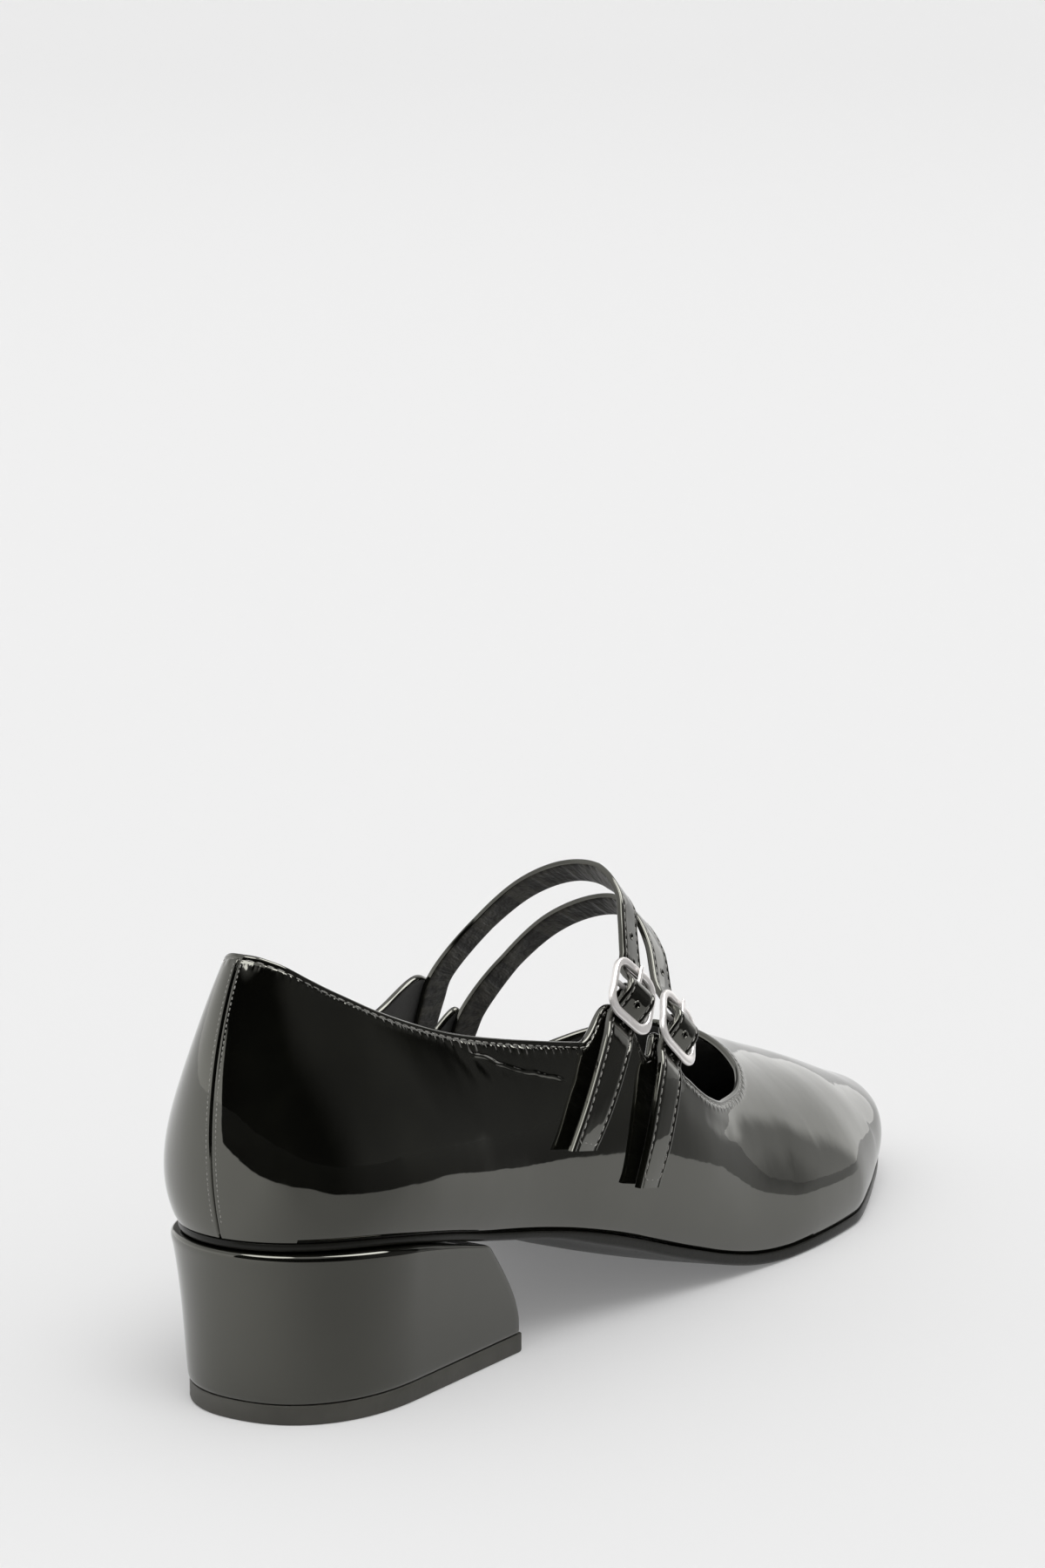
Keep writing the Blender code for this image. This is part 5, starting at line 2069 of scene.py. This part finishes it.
@dataclass
class Strap:
    """One narrow strap: patent face, creased lining, stitched edges, punched holes."""

    last: Last
    buckle: Buckle
    name: str
    tab: tuple[float, float]
    arch: tuple[StrapPoint, ...]
    tail: tuple[float, float]
    aside: float
    wall: float = 1.6
    width: float = 8.4
    thickness: float = 1.4
    seam: float = 12.0
    seam_clear: float = 0.5
    tab_lean: float = 0.1
    tail_clear: tuple[float, ...] = (1.9, 1.8, 1.5, 1.1)
    node_steps: int = 24
    after_bar: int = 8
    step: float = 0.34
    furrow: Band = Band(-0.15, 1.2, 0.24)
    welt: Band = Band(0.1, 0.6, 0.3)
    face_steps: tuple[float, ...] = (
        0.0, 0.06, 0.16, 0.3, 0.46, 0.64, 0.84, 1.02, 1.2, 1.38, 1.6, 1.95, 2.5, 3.3)
    side_steps: tuple[float, ...] = (0.22, 0.0, -0.24)
    back_steps: tuple[float, ...] = (0.0, 0.12, 0.4, 1.2, 2.6)
    hole_radius: float = 0.62
    hole_pitch: float = 6.0

    def nodes(self) -> list[tuple[Array, Array]]:
        """Where the strap's centre line passes.

        Returns:
            Its points, each with the direction across the strap.
        """
        half = 0.5 * self.thickness
        gap = self.last.gap
        found = []
        for drop in (self.seam, 0.5 * self.seam, 0.0):
            point, normal, up, forward = self.last.surface_frame(
                self.tab[0], self.tab[1] - drop, Side.INNER)
            behind = self.wall + gap + half + self.seam_clear * drop / self.seam
            found.append((point - normal * behind, unit(forward - up * self.tab_lean)))
        for row in self.arch:
            found.append((np.array([row.x, row.y, row.z]),
                          unit(np.array([1.0, row.turn, -row.lean]))))
        buckle = self.buckle
        end_up, end_out = buckle.frame_end()
        under = buckle.wire + gap + half
        over = buckle.bar_radius + buckle.bar_play + buckle.loop_thickness + gap + half
        through = (
            (end_up, end_out - under),
            (0.55 * end_up, 0.5 * (over + end_out - under) - 0.3),
            (0.12 * end_up, over - 0.1),
            (-0.2 * end_up, over - 0.3),
            (-0.6 * end_up, 0.5 * (over - end_out - under) - 0.1),
            (-end_up, -end_out - under),
        )
        for (up, out), aside in zip(through, (self.aside, 0.4 * self.aside, 0.0, 0.0, 0.0, 0.0)):
            found.append((buckle.at(up, out, aside), buckle.across))
        start = buckle.at(-end_up - 1.0, 0.0)
        bend = buckle.at(-end_up - 12.0, 0.0)
        end = np.array([self.tail[0], 0.0, self.tail[1]])
        tail_across = np.array([1.0, 0.0, -0.2])
        for i, clear in enumerate(self.tail_clear, 1):
            s = i / len(self.tail_clear)
            place = (1 - s) * ((1 - s) * start + s * bend) + s * ((1 - s) * bend + s * end)
            point, normal, _, _ = self.last.surface_frame(place[0], place[2], Side.OUTER)
            across = buckle.across + (tail_across - buckle.across) * s * s
            found.append((point + normal * (half + clear), across))
        return found

    def _trace(self) -> None:
        """Even points along the strap with their across and out directions."""
        nodes = self.nodes()
        steps = self.node_steps
        path = smooth_path([point for point, _ in nodes], steps)
        hints = []
        for i in range(len(path)):
            node, part = divmod(i, steps)
            after = min(node + 1, len(nodes) - 1)
            share = part / steps
            hints.append(nodes[node][1] * (1.0 - share) + nodes[after][1] * share)
        along = arc_length(path)
        self.bar_place = along[steps * (len(nodes) - self.after_bar)]
        self.places = np.linspace(0.0, along[-1], int(along[-1] / self.step))
        self.path, hints = resampled(path, self.places, np.array(hints))
        forward = directions(self.path)
        self.across = unit(hints - forward * (hints * forward).sum(axis=1)[:, None])
        self.out = np.cross(forward, self.across)
        cut = unit(hints[-1:])[0]
        slant = cut / cut.dot(self.across[-1]) - self.across[-1]
        near_end = smoothstep(self.places[-1] - 5.0, self.places[-1], self.places)
        self.aside_way = self.across + slant * near_end[:, None]

    def _profile(self) -> tuple[Array, Array]:
        """Cross-section of the strap, outer face first.

        Returns:
            Offsets across, and offsets outwards.
        """
        half_width, half = 0.5 * self.width, 0.5 * self.thickness
        e = np.array(self.face_steps)
        lift = -0.28 * np.clip(1.0 - e / 0.35, 0.0, 1.0) ** 2 + self.welt.at(e)
        lift = lift + self.furrow.at(e)
        lift = lift + 0.10 * (1.0 - ((half_width - e) / half_width) ** 2)
        rise = half + lift - 0.06
        face_a = np.concatenate([half_width - e, [0.0], -(half_width - e)[::-1]])
        face_b = np.concatenate([rise, [rise[-1] + 0.02], rise[::-1]])
        side_b = np.array(self.side_steps)
        back_e = np.array(self.back_steps)
        back_lift = 0.2 * np.clip(1.0 - back_e / 0.4, 0.0, 1.0) ** 2
        back_a = np.concatenate([-(half_width - back_e), [0.0], (half_width - back_e)[::-1]])
        back_b = -half + np.concatenate([back_lift, [0.0], back_lift[::-1]])
        side_a = np.full(len(side_b), half_width)
        a = np.concatenate([face_a, -side_a, back_a, side_a])
        b = np.concatenate([face_b, side_b, back_b, -side_b])
        start = len(face_a) + len(side_a)
        self.back = range(start, start + len(back_a) - 1)
        return a, b

    def make_band(self) -> Piece:
        """The strap, with its prong slot and blind punched holes.

        Returns:
            The object.
        """
        a, b = self._profile()
        rings = self.aside_way[:, None, :] * a[:, None] + self.out[:, None, :] * b[:, None]
        plan = MeshPlan()
        u, v = np.meshgrid(self.places, 0.5 * self.width - np.abs(a), indexing="ij")
        index = plan.add(self.path[:, None, :] + rings, np.stack([u, v], axis=2) / UV_UNIT)
        columns = index.T
        for k, (column, following) in enumerate(zip(columns, np.roll(columns, -1, axis=0))):
            plan.strip(column, following, False, 1 if k in self.back else 0)
        plan.cap(index[0])
        plan.cap(index[-1][::-1])
        materials = [FINISHES[Finish.PATENT], FINISHES[Finish.STRAP_LINING]]
        band = plan.build(f"{self.name}_strap_band", materials, PLATE_SHARP)
        self._punch(band)
        return band

    def _tool(self, path: Array, across: Array, wide: float, thick: float) -> Piece:
        """A cutting tool: a flattened round bar along a short path.

        Args:
            path: its points.
            across: the direction of its width.
            wide: half its width.
            thick: half its thickness.

        Returns:
            The object.
        """
        forward = directions(path)
        across = unit(across - forward * (forward @ across)[:, None])
        rings = oval_rings(across * wide, np.cross(forward, across) * thick, 18)
        tool = sweep(path, rings, "tool", FINISHES[Finish.PATENT])
        tool.hide_render = True
        return tool

    def hole_places(self) -> list[float]:
        """Distances along the strap of the holes that show."""
        return [self.bar_place + shift for shift in (
            -2.0 * self.hole_pitch - 3.0, -self.hole_pitch - 3.0, 3.4, 3.4 + self.hole_pitch)]

    def _punch(self, band: Piece) -> None:
        """Cuts the prong's slot through and the spare holes part way.

        Args:
            band: the strap.
        """
        start, tip = self.buckle.prong_line()
        half = 0.5 * self.buckle.prong_width
        line = np.array([start - (tip - start) * 0.25, tip])
        tools = [self._tool(line, self.buckle.across, half + 0.25,
                            0.5 * self.buckle.prong_thickness + 0.22)]
        self.holes = []
        for place in self.hole_places():
            i = int(np.argmin(np.abs(self.places - place)))
            top = self.path[i] + self.out[i] * 0.5 * self.thickness
            self.holes.append((top, self.out[i], self.across[i]))
            line = np.array([top + self.out[i] * 0.8, top - self.out[i] * 0.9])
            tools.append(self._tool(line, self.across[i], self.hole_radius, self.hole_radius))
        for tool in tools:
            cut = band.modifiers.new("cut", "BOOLEAN")
            cut.operation = "DIFFERENCE"
            cut.solver = "EXACT"
            cut.object = tool
        baked(band)
        for tool in tools:
            bpy.data.objects.remove(tool)

    def make_lips(self) -> Piece:
        """The pressed ring round each punched hole.

        Returns:
            One object for all of them.
        """
        plan = MeshPlan()
        for top, out, across in self.holes:
            along = np.cross(out, across)
            spin = np.linspace(0.0, TURN, 29)[:-1]
            ray = across * np.cos(spin)[:, None] + along * np.sin(spin)[:, None]
            rows = []
            for angle in np.linspace(0.0, TURN, 9)[:-1]:
                reach = self.hole_radius + 0.17 + 0.2 * math.cos(angle)
                rows.append(plan.add(top + ray * reach + out * (0.03 + 0.13 * math.sin(angle))))
            for first, second in zip(rows, rows[1:] + rows[:1]):
                plan.strip(first, second, True)
        return plan.build(f"{self.name}_strap_hole_lips", [FINISHES[Finish.PATENT]])

    def make_stitching(self) -> Piece:
        """Thread along both edges and across the free end.

        Returns:
            The object.
        """
        aside = 0.5 * self.width - self.furrow.place
        height = 0.5 * self.thickness - 0.1
        start, stop = (int(np.argmin(np.abs(self.places - place)))
                       for place in (self.seam, self.places[-1] - 1.5))
        picks = np.arange(start, stop)
        side = self.aside_way[picks] * aside
        middle = self.path[picks] + self.out[picks] * height
        lines = (middle + side, middle - side)
        s = np.linspace(0.0, 1.0, 12)[1:-1, None]
        turn = lines[0][-1] * (1.0 - s) + lines[1][-1] * s
        path = np.concatenate([lines[0], turn, lines[1][::-1]])
        out = self.out[picks]
        facing = np.concatenate([out, np.tile(out[-1], (len(turn), 1)), out[::-1]])
        row = StitchRow(pitch=1.95, length=1.5, thickness=0.32, sink=-0.02)
        return row.sew(f"{self.name}_strap_stitching", path, facing)

    def build(self) -> None:
        """Makes the strap's pieces."""
        self._trace()
        report(self.make_band(), "black_patent", f"{self.name}_strap")
        report(self.make_lips(), "black_patent")
        report(self.make_stitching(), "black_patent")


def make_straps(last: Last) -> None:
    """Both straps and their buckles.

    Args:
        last: the last they are fitted to.
    """
    rear_arch = (
        StrapPoint(109.4, 13.2, 77.2, 0.2, 0.0), StrapPoint(113.9, 4.8, 85.3, 0.45, 0.0),
        StrapPoint(115.7, -4.6, 89.2, 0.65, 0.0), StrapPoint(115.4, -12.6, 89.0, 0.95, 0.1),
        StrapPoint(112.7, -19.4, 85.0, 0.78, 0.04), StrapPoint(109.9, -21.8, 80.4, 0.58, 0.11),
        StrapPoint(106.8, -24.3, 74.2, 0.72, 0.02),
    )
    front_arch = (
        StrapPoint(126.6, 17.6, 65.2, 0.2, 0.0), StrapPoint(130.7, 9.6, 73.6, 0.45, 0.0),
        StrapPoint(132.4, 0.7, 78.0, 0.6, 0.0), StrapPoint(132.2, -6.6, 79.0, 0.8, 0.1),
        StrapPoint(129.9, -12.9, 76.8, 0.68, 0.05), StrapPoint(126.7, -18.3, 72.2, 0.6, 0.02),
        StrapPoint(120.9, -23.9, 64.4, 0.85, -0.06),
    )
    rows = (
        ("rear", (103.5, 67.0), rear_arch, (100.6, 67.2), (76.0, 41.4), 0.5),
        ("front", (121.2, 56.0), front_arch, (115.2, 57.7), (97.2, 29.6), -0.4),
    )
    for name, tab, arch, place, tail, aside in rows:
        buckle = Buckle(last, f"{name}_buckle", *place)
        buckle.build()
        Strap(last, buckle, name, tab, arch, tail, aside).build()


# --- studio
@dataclass
class Studio:
    """Pale floor, soft light, dark screens for the patent to mirror, and the camera."""

    eye: tuple[float, float, float] = (-0.745, -0.538, 0.295)
    heading: float = 0.633
    turn_right: float = math.radians(3.9)
    pitch: float = 0.183
    lens: float = 113.44
    paper: Color = (0.645, 0.645, 0.648)
    far_paper: Color = (0.605, 0.605, 0.608)
    paper_half: float = 40.0
    backdrop: float = 0.84
    fill: float = 0.76
    flag: float = 0.45
    boxes: tuple[tuple[float, float, float], ...] = ((80.0, 55.0, 6.0), (-150.0, 63.0, 5.0))
    box_edge: Range = (0.94, 0.952)
    ahead: Range = (53.0, 45.0)
    behind: Range = (-127.0, -125.5)
    slot: tuple[Range, Range] = ((-19.0, -13.0), (8.0, 2.0))
    flag_edge: Range = (75.0, 69.0)
    flag_lean: float = 55.0
    flag_fade: Range = (72.0, 58.0)
    screens: tuple[Range, Range] = ((63.0, 73.0), (138.0, 106.0))
    sun_strength: float = 1.15
    sun_angle: float = math.radians(38.0)

    def __post_init__(self) -> None:
        """Directions of the view over the floor."""
        self.forward = (math.cos(self.heading), math.sin(self.heading))
        self.right = (math.sin(self.heading), -math.cos(self.heading))

    def make_camera(self) -> None:
        """A long lens behind the heel's outer side, turned to hold the whole shoe."""
        data = bpy.data.cameras.new("camera")
        data.lens = self.lens
        data.sensor_width = 36.0
        camera = placed("camera", data)
        camera.location = Vector(self.eye) + Vector(PLACE.offset) * MM
        heading = self.heading - self.turn_right
        aim = Vector((
            math.cos(heading) * math.cos(self.pitch),
            math.sin(heading) * math.cos(self.pitch),
            -math.sin(self.pitch),
        ))
        camera.rotation_mode = "QUATERNION"
        camera.rotation_quaternion = aim.to_track_quat("-Z", "Y")
        bpy.context.scene.camera = camera

    def tone(self, shader: Shader, angle: Socket, rise: Operand) -> Socket:
        """Brightness of what stands round the shoe, as the gloss mirrors it.

        Args:
            shader: the tree to build in.
            angle: degrees to the right of straight ahead.
            rise: sine of the height over the horizon.

        Returns:
            1 at the pale backdrop, less at the flag beside it, 0.01 at the dark screens.
        """
        ahead = angle.ease(*self.ahead)
        slot = angle.ease(*self.slot[0]) * angle.ease(*self.slot[1])
        backdrop = ahead * angle.ease(*self.behind) * (1.0 - slot * 0.85)
        flag = (angle + rise * self.flag_lean).ease(*self.flag_edge) * (1.0 - ahead)
        level = angle.ease(*self.flag_fade) * 0.62 + 0.38
        screens = angle.ease(*self.screens[0]) * angle.ease(*self.screens[1]) * 0.08
        return backdrop + flag * level * self.flag + screens + 0.01

    def make_floor(self) -> None:
        """A wide pale sheet, painted darker far off and glowing a little as painted light; in the
        gloss its colour is a painted reflection that ends at dark screens.
        """
        mesh = bpy.data.meshes.new("floor")
        half = self.paper_half
        corners = [(-half, -half, 0.0), (half, -half, 0.0), (half, half, 0.0), (-half, half, 0.0)]
        mesh.from_pydata(corners, [], [(0, 1, 2, 3)])
        floor = placed("floor", mesh)
        material, shader = material_tree("paper")
        mesh.materials.append(material)
        x, y, _ = shader.parts(shader.place())
        heel_x, heel_y = (float(v) * MM for v in PLACE.offset[:2])
        over = (x - heel_x) * self.right[0] + (y - heel_y) * self.right[1]
        away = (x - heel_x) * self.forward[0] + (y - heel_y) * self.forward[1]
        # Painted reflection: to glossy rays only, the floor past a line round the shoe takes the
        # screens' tone, and the floor is painted lighter to the left and darker near the heel on
        # the camera's side; camera and diffuse rays see the plain paper.
        tone = self.tone(shader, over.angle_from(away), 0.0)
        slanted = over * 0.78 - away * 0.63
        outside = over.ease(0.27, 0.276).maximum(away.ease(-0.172, -0.178))
        outside = outside.maximum(slanted.ease(0.17, 0.176))
        near = away.ease(0.09, -0.04) * over.ease(-0.05, 0.05)
        shade = (over.ease(0.3, -0.25) * 0.26 + 0.93) * (1.0 - near * 0.35)
        painted_reflection = (outside * tone + (1.0 - outside)) * shade
        seen = shader.node("ShaderNodeLightPath", output="Is Glossy Ray")
        bright = seen * painted_reflection + (1.0 - seen)
        # Painted shade: the paper is painted darker with distance from the shoe, standing in for
        # light falling off.
        far = shader.blend(away.ease(0.7, 7.0), self.paper, self.far_paper)
        color = shader.node("ShaderNodeVectorMath", {"operation": "SCALE"},
                            {0: far, "Scale": bright})
        cloud = shader.noise(0.05, 3.0, 0.5)
        shader.principled({
            "Base Color": color,
            # Painted light: the paper glows a little with its own colour, which lifts the shadows
            # under the shoe.
            "Emission Color": color,
            "Emission Strength": 0.25,
            "Roughness": 0.9,
            "Specular IOR Level": 0.1,
            "Normal": shader.bump(cloud, 0.0002, 0.3),
        })

    def make_world(self) -> None:
        """What lies past the floor: pale to the eye, screens and soft boxes in the gloss."""
        world = bpy.data.worlds.new("studio")
        world.use_nodes = True
        bpy.context.scene.world = world
        shader = Shader(world.node_tree)
        x, y, z = shader.parts(shader.node("ShaderNodeTexCoord", output="Generated"))
        over = x * self.right[0] + y * self.right[1]
        away = x * self.forward[0] + y * self.forward[1]
        tone = self.tone(shader, over.angle_from(away), z)
        dome = z.ease(0.62, 0.78)
        gloss = tone * (1.4 - z * 1.15) * (1.0 - dome) + dome * 0.95
        for turn, rise, strength in self.boxes:
            turn, rise = math.radians(turn), math.radians(rise)
            flat = math.cos(rise)
            near = (over * (math.sin(turn) * flat) + away * (math.cos(turn) * flat)
                    + z * math.sin(rise))
            gloss = gloss + near.ease(*self.box_edge) * strength
        glossy = shader.node("ShaderNodeLightPath", output="Is Glossy Ray")
        eye = shader.node("ShaderNodeLightPath", output="Is Camera Ray")
        strength = glossy * gloss + (1.0 - glossy) * (eye * self.backdrop + (1.0 - eye) * self.fill)
        light = shader.node("ShaderNodeBackground", inputs={
            "Color": (1.0, 0.998, 0.99, 1.0), "Strength": strength})
        out = world.node_tree.nodes.new("ShaderNodeOutputWorld")
        world.node_tree.links.new(light.out, out.inputs["Surface"])

    def make_lights(self) -> None:
        """A broad key from over the eye's left shoulder; it doesn't show in the gloss."""
        data = bpy.data.lights.new("key", "SUN")
        data.energy = self.sun_strength
        data.angle = self.sun_angle
        key = placed("key", data)
        towards = Vector((*(0.5 * f - 0.1 * r for f, r in zip(self.forward, self.right)), -1.0))
        key.rotation_mode = "QUATERNION"
        key.rotation_quaternion = towards.to_track_quat("-Z", "Y")
        key.visible_glossy = False

    def build(self) -> None:
        """Makes the studio."""
        bpy.context.scene.view_settings.view_transform = "Standard"
        self.make_camera()
        self.make_floor()
        self.make_world()
        self.make_lights()
        LOG.info("studio made")


def main() -> None:
    """Builds the shoe and the studio."""
    logging.basicConfig(level=logging.INFO, format="%(message)s")
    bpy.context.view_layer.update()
    last = Last()
    upper = Upper(last)
    PLACE.settle("upper", upper.points.reshape(-1, 3))
    upper.build()
    bottom = Bottom(last)
    bottom.build()
    Heel(bottom).build()
    make_straps(last)
    Studio().build()


if __name__ == "__main__":
    main()
